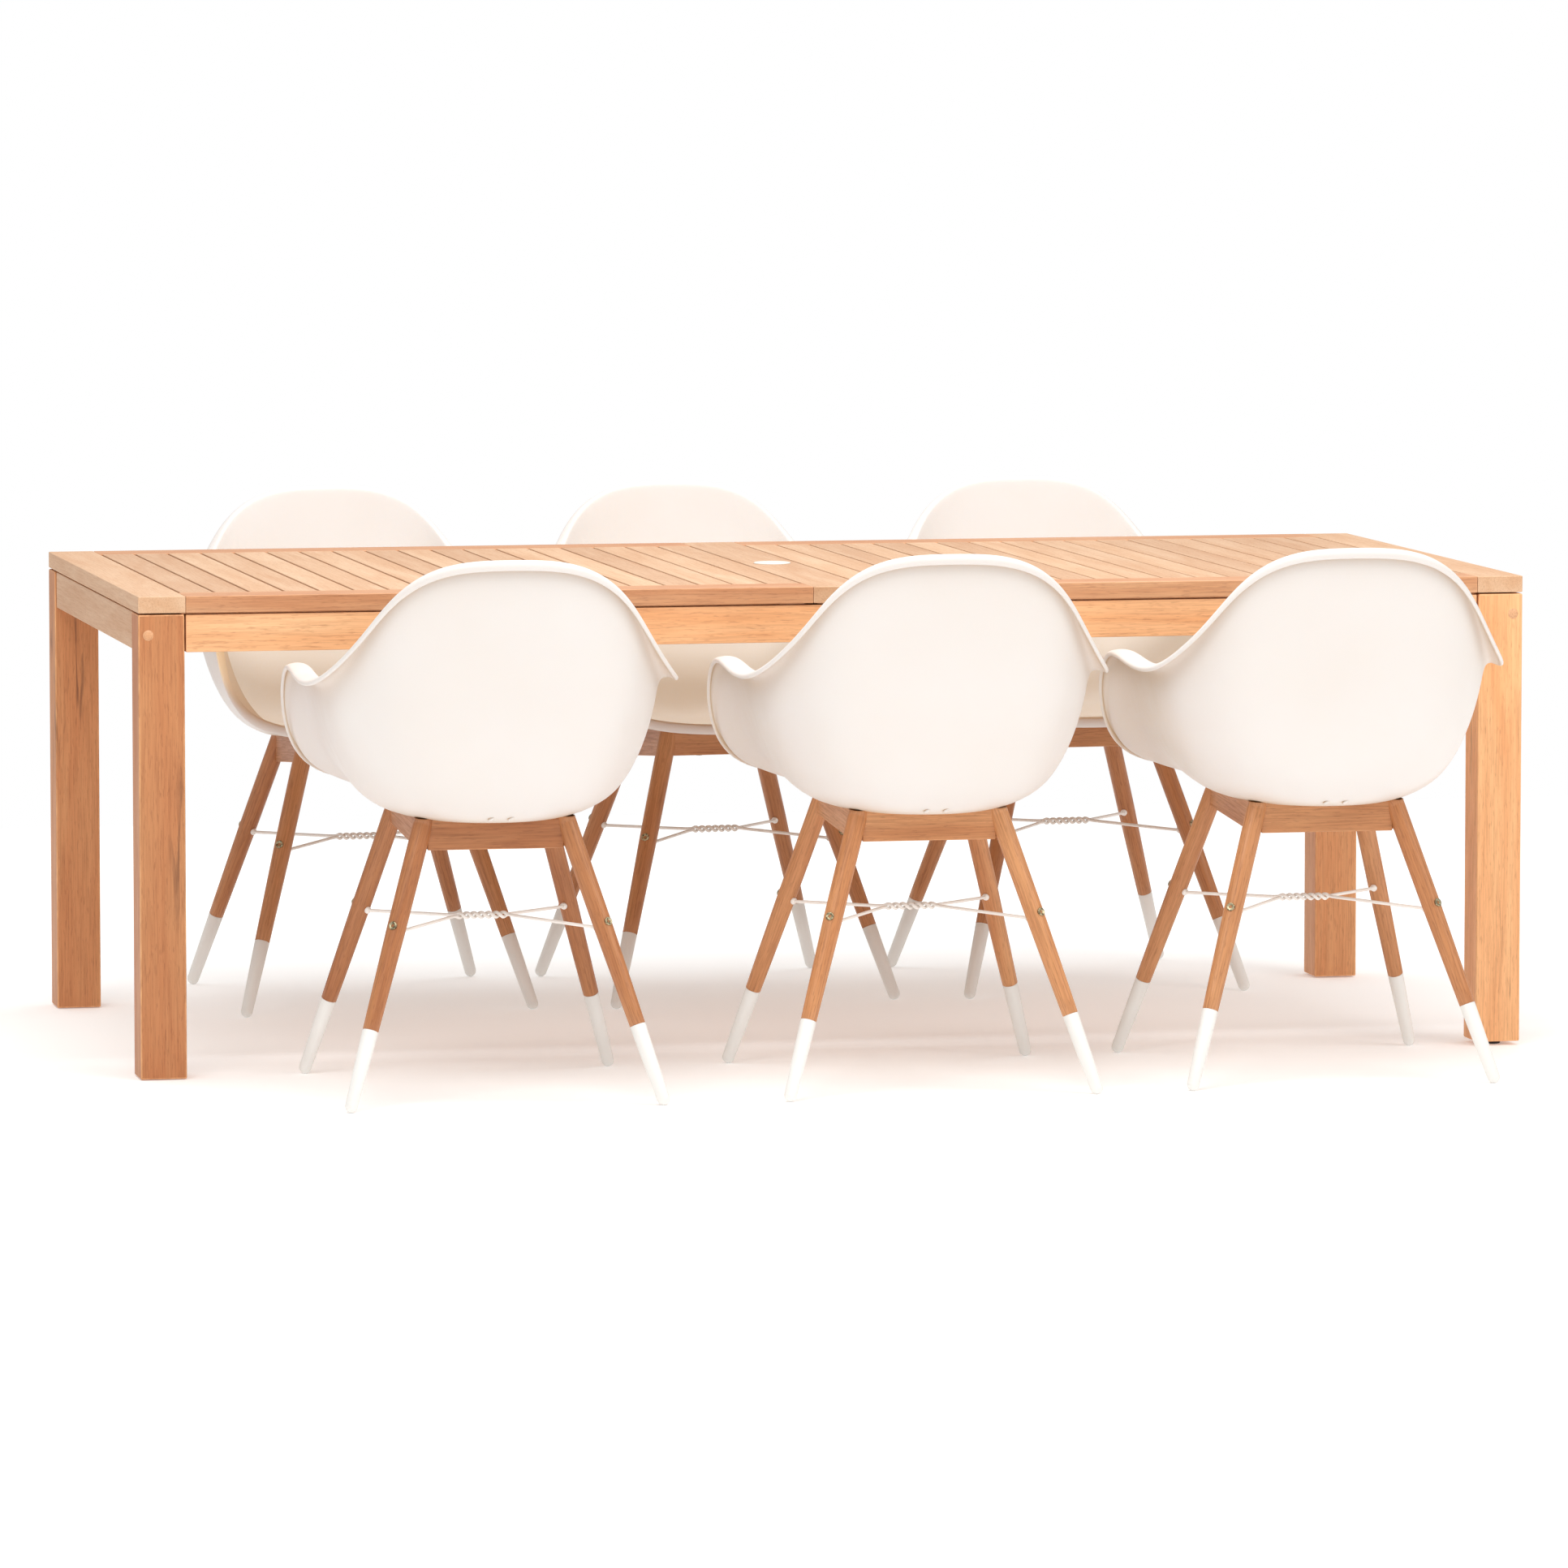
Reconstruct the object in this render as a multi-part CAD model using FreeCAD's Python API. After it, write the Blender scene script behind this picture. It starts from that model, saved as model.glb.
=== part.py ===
import FreeCAD, Part
import math
import os

from FreeCAD import Vector

# Patio dining set: a slatted teak table and six armchairs with moulded shells on splayed wooden legs.
# Millimetres, +Z up, the floor at Z = 0. X runs along the table and +Y is its rear side.
# The origin is on the floor in the middle of the set's footprint, chairs included.

# ---- table ----
TABLE_LENGTH = 2215.0
TABLE_WIDTH = 1045.0
TABLE_HEIGHT = 750.0
TABLE_CENTRE_Y = 103.1          # the front chairs stand further out, so the table sits behind the origin
TOP_THICKNESS = 26.0
END_BOARD_WIDTH = 74.0
CENTRE_BOARD_WIDTH = 88.0
LONG_RAIL_WIDTH = 78.0
SLATS_PER_HALF = 18
SLAT_GAP = 4.6
BOARD_CHAMFER = 1.5
TABLE_LEG = 72.0
APRON_HEIGHT = 58.0
APRON_THICKNESS = 25.0
APRON_SETBACK = 3.0
APRON_DROP = 3.0                # open joint between the top and the aprons
APRON_END_GAP = 2.5             # open joint between the long aprons and the legs
TENON_LENGTH = 30.0
TENON_HEIGHT = 36.0
TENON_THICKNESS = 10.0
BATTEN_HEIGHT = 20.0
BATTEN_WIDTH = 45.0
BATTEN_SPACING = 287.0
CROSS_RAIL_HEIGHT = 48.0
CROSS_RAIL_THICKNESS = 22.0
CROSS_RAIL_X = 42.0
PARASOL_HOLE_RADIUS = 25.0
CAP_RADIUS = 30.0
CAP_HEAD = 2.5
CAP_SPIGOT_LENGTH = 18.0
CAP_WALL = 3.5
CAP_ROUNDING = 1.0
BOLT_RADIUS = 4.0
BOLT_LENGTH = 110.0
PLUG_RADIUS = 8.5
PLUG_DEPTH = 8.0
PLUG_PROUD = 0.4
JOINT_HEIGHT = 690.0            # height of the leg bolts and their wooden plugs

# levelling feet: how far each one is wound out of its leg, keyed by leg
FOOT_OUT = {"front_left": 1.5, "front_right": 6.5, "rear_left": 1.5, "rear_right": 2.5}
FOOT_PAD_RADIUS = 14.0
FOOT_PAD_THICKNESS = 6.0
FOOT_PAD_ROUNDING = 1.5
FOOT_STEM_RADIUS = 4.0
FOOT_STEM_LENGTH = 30.0
FOOT_CLEARANCE = 0.5
INSERT_RADIUS = 6.5
INSERT_LENGTH = 20.0

# ---- chair frame, in the chair's own axes: +Y forward, origin on the floor between its feet ----
FOOT_X = 241.6
FOOT_Y = 248.0
FRONT_LEAN = (0.295, 0.315)     # inward travel in X and Y for each millimetre of height
REAR_LEAN = (0.310, 0.280)
LEG_TIP_RADIUS = 9.8
LEG_END_RADIUS = 12.2
LEG_MIDDLE_RADIUS = 14.6
LEG_TOP_RADIUS = 15.2
LEG_END_HEIGHT = 120.0
LEG_MIDDLE_HEIGHT = 270.0
SEAT_PLANE_Z = 438.8            # underside of the shell at the chair's middle
SEAT_PLANE_SLOPE = 0.0815       # rise towards the front
LEG_OVERRUN = 30.0              # leg centre lines run this far past the seat plane before the cut
RAIL_HEIGHT = 44.0
RAIL_THICKNESS = 21.0
RAIL_INSET = 4.0                # the rails' middles lie this far inside the legs' centre lines
BRACE_HEIGHT = 270.0
TWIST_HEIGHT = 269.0            # the wires sag slightly from the bolts to the twist
WIRE_BEND = 12.0                # bend radius where the wires enter the twist
WIRE_RADIUS = 2.6
WIRE_GAP = 0.1                  # half the space between the two wires in the twist
TWIST_LENGTH = 80.0
FERRULE_RADIUS = 5.6
FERRULE_LENGTH = 4.5
BRACE_BOLT_RADIUS = 3.0
BOLT_HEAD_RADIUS = 6.6
BOLT_HEAD_DEPTH = 4.0
BOLT_HEAD_SINK = 2.0
SOCKET_RADIUS = 2.6
SOCKET_DEPTH = 2.0
SEAT_SCREW_X = 60.0
SEAT_SCREW_RADIUS = 3.0
SEAT_SCREW_BITE = 4.0
SEAT_SCREW_SINK = 2.0
SEAT_SCREW_HEAD_RADIUS = 5.5
SEAT_SCREW_HEAD = 4.0

# ---- chair shell ----
SHELL_THICKNESS = 6.0
SEAT_CENTRE_Y = 15.0
FLAT_RADIUS_X = 150.0
FLAT_RADIUS_Y = 192.0
FLAT_POWER = 2.3
DISC_SHARE = 0.9                # the flat disc's share of the flat stretch
BACK_LEAN = 72.0                # how far the wall leans out on its way up, at the back and the sides
SIDE_LEAN = 8.0
# half of the shell's outer edge, from the middle of the back to the middle of the seat front:
# x, y, z, width of the flange, depth of its rolled lip
EDGE = [
    (0, -308, 832, 19, 14),
    (74, -306, 831, 19, 14),
    (134, -297, 815, 19, 14),
    (180, -279, 780, 19, 14),
    (213, -252, 732, 22, 13),
    (244, -211, 686, 28, 11),
    (279, -156, 645, 36, 9),
    (292, -85, 640, 38, 8),
    (289, 10, 645, 36, 8),
    (284, 100, 652, 33, 8),
    (281, 176, 645, 27, 9),
    (281, 214, 596, 19, 11),
    (268, 233, 532, 16, 13),
    (229, 250, 484, 15, 15),
    (140, 259, 466, 14, 15),
    (0, 263, 463, 14, 15),
]

# ---- where the six chairs stand: name, x, y from the table's middle, turn, facing the table ----
CHAIRS = [
    ("front_left", -610.0, -732.0, -1.0, False),
    ("front_middle", 62.0, -739.0, -0.6, False),
    ("front_right", 693.0, -735.0, -0.4, False),
    ("rear_left", -590.0, 522.0, 1.9, True),
    ("rear_middle", 13.0, 521.0, 4.2, True),
    ("rear_right", 621.0, 532.0, 2.7, True),
]

SIDES = (("left", -1), ("right", 1))
ENDS = (("front", -1), ("rear", 1))


def export(name, shapes):
    Part.Compound(shapes).exportStep("parts/%s.step" % name)


def block(x, y, z, chamfer=0.0):
    """A box from three (low, high) pairs, its long edges chamfered if asked."""
    size = [pair[1] - pair[0] for pair in (x, y, z)]
    solid = Part.makeBox(*size, Vector(x[0], y[0], z[0]))
    if not chamfer:
        return solid
    longest = max(size)
    edges = [edge for edge in solid.Edges if abs(edge.Length - longest) < 1e-6]
    return solid.makeChamfer(chamfer, edges)


def rod(start, end, start_radius, end_radius=None):
    """A round bar between two points, tapered if the radii differ."""
    axis = end - start
    if end_radius is None or abs(end_radius - start_radius) < 1e-6:
        return Part.makeCylinder(start_radius, axis.Length, start, axis)
    return Part.makeCone(start_radius, end_radius, axis.Length, start, axis)


def centred(centre, width):
    return (centre - width / 2, centre + width / 2)


# ======================= table =======================

def table_leg(side, end, out):
    """A square leg with mortises for the long apron and a recess for the levelling foot."""
    x0 = side * (TABLE_LENGTH - TABLE_LEG) / 2
    y0 = end * (TABLE_WIDTH - TABLE_LEG) / 2
    top = TABLE_HEIGHT - TOP_THICKNESS
    leg = block(centred(x0, TABLE_LEG), centred(y0, TABLE_LEG), (out, top))
    edges = [edge for edge in leg.Edges if edge.BoundBox.ZMin > out - 1e-6]
    leg = leg.makeChamfer(BOARD_CHAMFER, edges)
    leg = leg.cut(tenon(side, end))
    recess = FOOT_PAD_THICKNESS + FOOT_CLEARANCE
    pad_hole = Part.makeCylinder(FOOT_PAD_RADIUS + FOOT_CLEARANCE, recess, Vector(x0, y0, out))
    insert_hole = Part.makeCylinder(INSERT_RADIUS, INSERT_LENGTH, Vector(x0, y0, out + recess))
    stem_room = FOOT_STEM_LENGTH + FOOT_CLEARANCE
    stem_hole = Part.makeCylinder(FOOT_STEM_RADIUS + FOOT_CLEARANCE, stem_room, Vector(x0, y0, out + recess))
    leg = leg.cut(Part.makeCompound([pad_hole, insert_hole, stem_hole]))
    bolt_x = side * (TABLE_LENGTH / 2 - APRON_SETBACK - APRON_THICKNESS / 2)
    face_y = end * TABLE_WIDTH / 2
    leg = leg.cut(leg_bolt(bolt_x, face_y, end))
    return leg.cut(leg_plug(bolt_x, face_y, end))


def tenon(side, end):
    """Tenon of a long apron's end, inside the leg."""
    inner_x = TABLE_LENGTH / 2 - TABLE_LEG
    x = sorted((side * (inner_x - 2 * APRON_END_GAP), side * (inner_x + TENON_LENGTH)))
    middle = end * (TABLE_WIDTH / 2 - APRON_SETBACK - APRON_THICKNESS / 2)
    return block(x, centred(middle, TENON_THICKNESS), centred(apron_middle(), TENON_HEIGHT))


def apron_middle():
    return TABLE_HEIGHT - TOP_THICKNESS - APRON_DROP - APRON_HEIGHT / 2


def long_apron(end):
    half = TABLE_LENGTH / 2 - TABLE_LEG - APRON_END_GAP
    middle = end * (TABLE_WIDTH / 2 - APRON_SETBACK - APRON_THICKNESS / 2)
    height = centred(apron_middle(), APRON_HEIGHT)
    board = block((-half, half), centred(middle, APRON_THICKNESS), height, BOARD_CHAMFER)
    return board.fuse([tenon(-1, end), tenon(1, end)]).removeSplitter()


def end_apron(side):
    half = TABLE_WIDTH / 2 - TABLE_LEG
    middle = side * (TABLE_LENGTH / 2 - APRON_SETBACK - APRON_THICKNESS / 2)
    height = centred(apron_middle(), APRON_HEIGHT)
    board = block(centred(middle, APRON_THICKNESS), (-half, half), height, BOARD_CHAMFER)
    bolts = [leg_bolt(middle, end * TABLE_WIDTH / 2, end) for name, end in ENDS]
    return board.cut(Part.makeCompound(bolts))


def leg_bolt(x, face_y, end):
    """Long bolt through a leg into the end grain of the end apron."""
    start = Vector(x, face_y - end * PLUG_DEPTH, JOINT_HEIGHT)
    return rod(start, start - Vector(0, end * BOLT_LENGTH, 0), BOLT_RADIUS)


def leg_plug(x, face_y, end):
    """Round wooden plug over the bolt, a hair proud of the leg."""
    start = Vector(x, face_y + end * PLUG_PROUD, JOINT_HEIGHT)
    return rod(start, start - Vector(0, end * (PLUG_DEPTH + PLUG_PROUD), 0), PLUG_RADIUS)


def insert_base(out):
    return out + FOOT_PAD_THICKNESS + FOOT_CLEARANCE


def threaded_insert(x, y, out):
    outer = Part.makeCylinder(INSERT_RADIUS, INSERT_LENGTH, Vector(x, y, insert_base(out)))
    bore = FOOT_STEM_RADIUS + FOOT_CLEARANCE
    inner = Part.makeCylinder(bore, INSERT_LENGTH, Vector(x, y, insert_base(out)))
    return outer.cut(inner)


def levelling_foot(x, y):
    """A round pad on a stem, wound down until the pad stands on the floor."""
    pad = Part.makeCylinder(FOOT_PAD_RADIUS, FOOT_PAD_THICKNESS, Vector(x, y, 0))
    pad = pad.makeFillet(FOOT_PAD_ROUNDING, [edge for edge in pad.Edges if edge.BoundBox.ZMax < 1e-6])
    stem = Part.makeCylinder(FOOT_STEM_RADIUS, FOOT_STEM_LENGTH, Vector(x, y, FOOT_PAD_THICKNESS - 1))
    return pad.fuse(stem).removeSplitter()


def top_heights():
    return (TABLE_HEIGHT - TOP_THICKNESS, TABLE_HEIGHT)


def end_board(side):
    outer = side * TABLE_LENGTH / 2
    x = sorted((outer, outer - side * END_BOARD_WIDTH))
    return block(x, centred(0, TABLE_WIDTH), top_heights(), BOARD_CHAMFER)


def centre_board():
    board = block(centred(0, CENTRE_BOARD_WIDTH), centred(0, TABLE_WIDTH), top_heights(), BOARD_CHAMFER)
    hole = Part.makeCylinder(PARASOL_HOLE_RADIUS, TOP_THICKNESS, Vector(0, 0, top_heights()[0]))
    return board.cut(hole)


def top_rail(side, end):
    """Long rail between an end board and the centre board."""
    x = sorted((side * CENTRE_BOARD_WIDTH / 2, side * (TABLE_LENGTH / 2 - END_BOARD_WIDTH)))
    outer = end * TABLE_WIDTH / 2
    y = sorted((outer, outer - end * LONG_RAIL_WIDTH))
    return block(x, y, top_heights(), BOARD_CHAMFER)


def slats(side):
    """The cross slats of one half, evenly spaced between the end board and the centre board."""
    start = CENTRE_BOARD_WIDTH / 2
    room = TABLE_LENGTH / 2 - END_BOARD_WIDTH - start
    width = (room - SLAT_GAP * (SLATS_PER_HALF + 1)) / SLATS_PER_HALF
    length = TABLE_WIDTH - 2 * LONG_RAIL_WIDTH
    solids = []
    for index in range(SLATS_PER_HALF):
        near = start + SLAT_GAP + index * (width + SLAT_GAP)
        x = sorted((side * near, side * (near + width)))
        solids.append(block(x, centred(0, length), top_heights(), BOARD_CHAMFER))
    return solids


def under_top_battens():
    """Two cross rails either side of the parasol hole, and battens that carry the slats."""
    top = top_heights()[0]
    inner_y = TABLE_WIDTH / 2 - APRON_SETBACK - APRON_THICKNESS
    solids = []
    for name, side in SIDES:
        x = centred(side * CROSS_RAIL_X, CROSS_RAIL_THICKNESS)
        solids.append(block(x, (-inner_y, inner_y), (top - CROSS_RAIL_HEIGHT, top)))
        rail_face = CROSS_RAIL_X + CROSS_RAIL_THICKNESS / 2
        apron_face = TABLE_LENGTH / 2 - APRON_SETBACK - APRON_THICKNESS
        x = sorted((side * rail_face, side * apron_face))
        for place in (-1, 0, 1):
            y = centred(place * BATTEN_SPACING, BATTEN_WIDTH)
            solids.append(block(x, y, (top - BATTEN_HEIGHT, top)))
    return solids


def parasol_cap():
    head = Part.makeCylinder(CAP_RADIUS, CAP_HEAD, Vector(0, 0, TABLE_HEIGHT))
    rim = [edge for edge in head.Edges if edge.BoundBox.ZMin > TABLE_HEIGHT + 1]
    head = head.makeFillet(CAP_ROUNDING, rim)
    spigot = Part.makeCylinder(PARASOL_HOLE_RADIUS - FOOT_CLEARANCE, CAP_SPIGOT_LENGTH,
                               Vector(0, 0, TABLE_HEIGHT - CAP_SPIGOT_LENGTH))
    hollow = Part.makeCylinder(PARASOL_HOLE_RADIUS - FOOT_CLEARANCE - CAP_WALL, CAP_SPIGOT_LENGTH,
                               Vector(0, 0, TABLE_HEIGHT - CAP_SPIGOT_LENGTH))
    return head.fuse(spigot).cut(hollow).removeSplitter()


def build_table():
    nodes = {}
    plugs = []
    fasteners = []
    for end_name, end in ENDS:
        nodes["apron_" + end_name] = [long_apron(end)]
        for side_name, side in SIDES:
            corner = end_name + "_" + side_name
            out = FOOT_OUT[corner]
            x = side * (TABLE_LENGTH - TABLE_LEG) / 2
            y = end * (TABLE_WIDTH - TABLE_LEG) / 2
            bolt_x = side * (TABLE_LENGTH / 2 - APRON_SETBACK - APRON_THICKNESS / 2)
            nodes["table_leg_" + corner] = [table_leg(side, end, out)]
            nodes["levelling_foot_" + corner] = [levelling_foot(x, y)]
            nodes["top_rail_" + corner] = [top_rail(side, end)]
            plugs.append(leg_plug(bolt_x, end * TABLE_WIDTH / 2, end))
            fasteners.append(leg_bolt(bolt_x, end * TABLE_WIDTH / 2, end))
            fasteners.append(threaded_insert(x, y, out))
    for side_name, side in SIDES:
        nodes["apron_" + side_name] = [end_apron(side)]
        nodes["top_end_board_" + side_name] = [end_board(side)]
    nodes["top_centre_board"] = [centre_board()]
    nodes["top_slats"] = slats(-1) + slats(1)
    nodes["under_top_battens"] = under_top_battens()
    nodes["parasol_hole_cap"] = [parasol_cap()]
    nodes["leg_bolt_plugs"] = plugs
    nodes["table_bolts_and_inserts"] = fasteners
    return nodes


# ======================= chair frame =======================

def seat_plane(y):
    """Height of the shell's flat underside at a distance in front of the chair's middle."""
    return SEAT_PLANE_Z + SEAT_PLANE_SLOPE * y


def leg_axis(side, front, height):
    """A point on a leg's centre line."""
    lean_x, lean_y = FRONT_LEAN if front > 0 else REAR_LEAN
    return Vector(side * (FOOT_X - lean_x * height), front * (FOOT_Y - lean_y * height), height)


def seat_frame_space():
    """Everything below the shell's underside."""
    reach = 400.0
    slope = math.degrees(math.atan(SEAT_PLANE_SLOPE))
    space = Part.makeBox(2 * reach, 2 * reach, reach, Vector(-reach, -reach, -reach))
    space.rotate(Vector(0, 0, 0), Vector(1, 0, 0), slope)
    space.translate(Vector(0, 0, SEAT_PLANE_Z))
    return space


def chair_leg(side, front):
    """Turned tapering leg from the white end up to the shell, drilled for the brace bolt."""
    low = leg_axis(side, front, LEG_END_HEIGHT)
    middle = leg_axis(side, front, LEG_MIDDLE_HEIGHT)
    high = leg_axis(side, front, SEAT_PLANE_Z + LEG_OVERRUN)
    lower = rod(low, middle, LEG_END_RADIUS, LEG_MIDDLE_RADIUS)
    leg = lower.fuse(rod(middle, high, LEG_MIDDLE_RADIUS, LEG_TOP_RADIUS)).removeSplitter()
    return leg.common(seat_frame_space()).cut(brace_bolt_hole(side, front))


def leg_end(side, front):
    """White end of a leg, tapering to a rounded tip that stands on the floor."""
    tip_height = LEG_TIP_RADIUS
    tip = leg_axis(side, front, tip_height)
    high = leg_axis(side, front, LEG_END_HEIGHT)
    return rod(tip, high, LEG_TIP_RADIUS, LEG_END_RADIUS).fuse(
        Part.makeSphere(LEG_TIP_RADIUS, tip)).removeSplitter()


def rail_between(start, end):
    """A rail on edge between two points on the seat plane, its top on that plane."""
    along = end - start
    along.z = 0
    length = along.Length
    turn = math.degrees(math.atan2(along.y, along.x))
    tall = 2 * RAIL_HEIGHT
    rail = Part.makeBox(length, RAIL_THICKNESS, tall, Vector(0, -RAIL_THICKNESS / 2, -tall))
    rise = math.degrees(math.atan2(end.z - start.z, length))
    rail.rotate(Vector(0, 0, 0), Vector(0, 1, 0), -rise)
    rail.rotate(Vector(0, 0, 0), Vector(0, 0, 1), turn)
    rail.translate(start)
    return rail


def seat_rails(legs):
    """Four rails under the shell, cut to fit round the legs."""
    corners = {}
    for side in (-1, 1):
        for front in (-1, 1):
            point = leg_axis(side, front, SEAT_PLANE_Z - RAIL_HEIGHT / 2)
            point -= Vector(side * RAIL_INSET, front * RAIL_INSET, 0)
            point.z = seat_plane(point.y)
            corners[side, front] = point
    above = seat_frame_space()
    below = above.copy()
    below.translate(Vector(0, 0, -RAIL_HEIGHT))
    band = above.cut(below)
    pairs = [((-1, -1), (1, -1)), ((-1, 1), (1, 1)), ((-1, -1), (-1, 1)), ((1, -1), (1, 1))]
    rails = []
    for first, second in pairs:
        rail = rail_between(corners[first], corners[second]).common(band)
        pieces = rail.cut(legs).Solids
        rails.append(max(pieces, key=lambda solid: solid.Volume))
    return rails


# ======================= brace wires and bolts =======================

def bolt_line(side, front):
    """Where a brace bolt crosses its leg's centre line, and its inward direction, square to the leg."""
    centre = leg_axis(side, front, BRACE_HEIGHT)
    upwards = (leg_axis(side, front, SEAT_PLANE_Z) - centre).normalize()
    inward = Vector(side * TWIST_LENGTH / 2, 0, BRACE_HEIGHT) - centre
    square = inward - upwards * inward.dot(upwards)
    return centre, square.normalize()


def leg_radius(height):
    """Radius of the wooden leg at a height."""
    if height < LEG_MIDDLE_HEIGHT:
        share = (height - LEG_END_HEIGHT) / (LEG_MIDDLE_HEIGHT - LEG_END_HEIGHT)
        return LEG_END_RADIUS + (LEG_MIDDLE_RADIUS - LEG_END_RADIUS) * share
    share = (height - LEG_MIDDLE_HEIGHT) / (SEAT_PLANE_Z + LEG_OVERRUN - LEG_MIDDLE_HEIGHT)
    return LEG_MIDDLE_RADIUS + (LEG_TOP_RADIUS - LEG_MIDDLE_RADIUS) * share


def bent_line(points, radius):
    """A line through the points, with an arc of the radius at each corner."""
    edges = []
    start = points[0]
    for before, corner, after in zip(points, points[1:], points[2:]):
        back = (before - corner).normalize()
        ahead = (after - corner).normalize()
        half = back.getAngle(ahead) / 2
        inset = radius / math.tan(half)
        middle = corner + (back + ahead).normalize() * (radius / math.sin(half) - radius)
        edges.append(Part.LineSegment(start, corner + back * inset).toShape())
        edges.append(Part.Arc(corner + back * inset, middle, corner + ahead * inset).toShape())
        start = corner + ahead * inset
    edges.append(Part.LineSegment(start, points[-1]).toShape())
    return Part.Wire(edges)


def brace_wire(side, level):
    """One wire: from a front leg into the twist and out to the rear leg diagonally opposite."""
    height = TWIST_HEIGHT + level * (WIRE_RADIUS + WIRE_GAP)
    points = [Vector(side * TWIST_LENGTH / 2, 0, height), Vector(-side * TWIST_LENGTH / 2, 0, height)]
    ferrules = []
    for place, corner in ((0, (side, 1)), (3, (-side, -1))):
        centre, inward = bolt_line(*corner)
        face = centre + inward * leg_radius(BRACE_HEIGHT)
        ferrules.append(rod(face, face + inward * FERRULE_LENGTH, FERRULE_RADIUS))
        points.insert(place, face + inward * FERRULE_LENGTH / 2)
    line = bent_line(points, WIRE_BEND)
    outline = Part.Wire(Part.makeCircle(WIRE_RADIUS, points[0], points[1] - points[0]))
    wire = line.makePipeShell([outline], True, False)
    return wire.fuse(ferrules).removeSplitter()


def brace_bolt(side, front):
    """Bolt through a leg: round head with a socket outside, shank up to the wire's ferrule."""
    centre, inward = bolt_line(side, front)
    radius = leg_radius(BRACE_HEIGHT)
    under_head = centre - inward * (radius - BOLT_HEAD_SINK)
    top = under_head - inward * BOLT_HEAD_DEPTH
    head = rod(under_head, top, BOLT_HEAD_RADIUS).cut(rod(top + inward * SOCKET_DEPTH, top, SOCKET_RADIUS))
    return head.fuse(rod(under_head, centre + inward * radius, BRACE_BOLT_RADIUS)).removeSplitter()


def brace_bolt_hole(side, front):
    """Drilled right through the leg, with a shallow seat for the bolt's head."""
    centre, inward = bolt_line(side, front)
    radius = leg_radius(BRACE_HEIGHT)
    under_head = centre - inward * (radius - BOLT_HEAD_SINK)
    seat = rod(under_head, under_head - inward * radius, BOLT_HEAD_RADIUS)
    hole = rod(under_head, centre + inward * 2 * radius, BRACE_BOLT_RADIUS)
    return seat.fuse(hole)


def seat_screw(side, front):
    """Screw up through the front or rear rail into the shell."""
    x = side * SEAT_SCREW_X
    y = leg_axis(side, front, SEAT_PLANE_Z - RAIL_HEIGHT / 2).y - front * RAIL_INSET
    low = seat_plane(y) - RAIL_HEIGHT + SEAT_SCREW_SINK
    head = Part.makeCylinder(SEAT_SCREW_HEAD_RADIUS, SEAT_SCREW_HEAD, Vector(x, y, low))
    length = seat_plane(y) + SEAT_SCREW_BITE - low
    return head.fuse(Part.makeCylinder(SEAT_SCREW_RADIUS, length, Vector(x, y, low))).removeSplitter()


def seat_screw_holes(screws):
    """Space taken by the seat screws, with their head recesses open downwards."""
    spaces = [screw.copy() for screw in screws]
    for screw in screws:
        box = screw.BoundBox
        spaces.append(Part.makeCylinder(SEAT_SCREW_HEAD_RADIUS, RAIL_HEIGHT / 2,
                                        Vector(box.Center.x, box.Center.y, box.ZMin - RAIL_HEIGHT / 2)))
    return Part.makeCompound(spaces)


# ======================= chair shell =======================

def superellipse(turn, power):
    """Fractions of the reach and of the rise at a quarter turn's share."""
    angle = turn * math.pi / 2
    across = math.sin(angle) ** (2 / power)
    rise = 1 - math.cos(angle) ** (2 / power)
    return across, rise


def offset_section(points, distance):
    """A section line moved outwards, to the right of its direction of travel."""
    moved = []
    last = len(points) - 1
    for index, point in enumerate(points):
        before = points[max(index - 1, 0)]
        after = points[min(index + 1, last)]
        run, rise = after[0] - before[0], after[1] - before[1]
        length = math.hypot(run, rise)
        moved.append((point[0] + distance * rise / length, point[1] - distance * run / length))
    return moved


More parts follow.
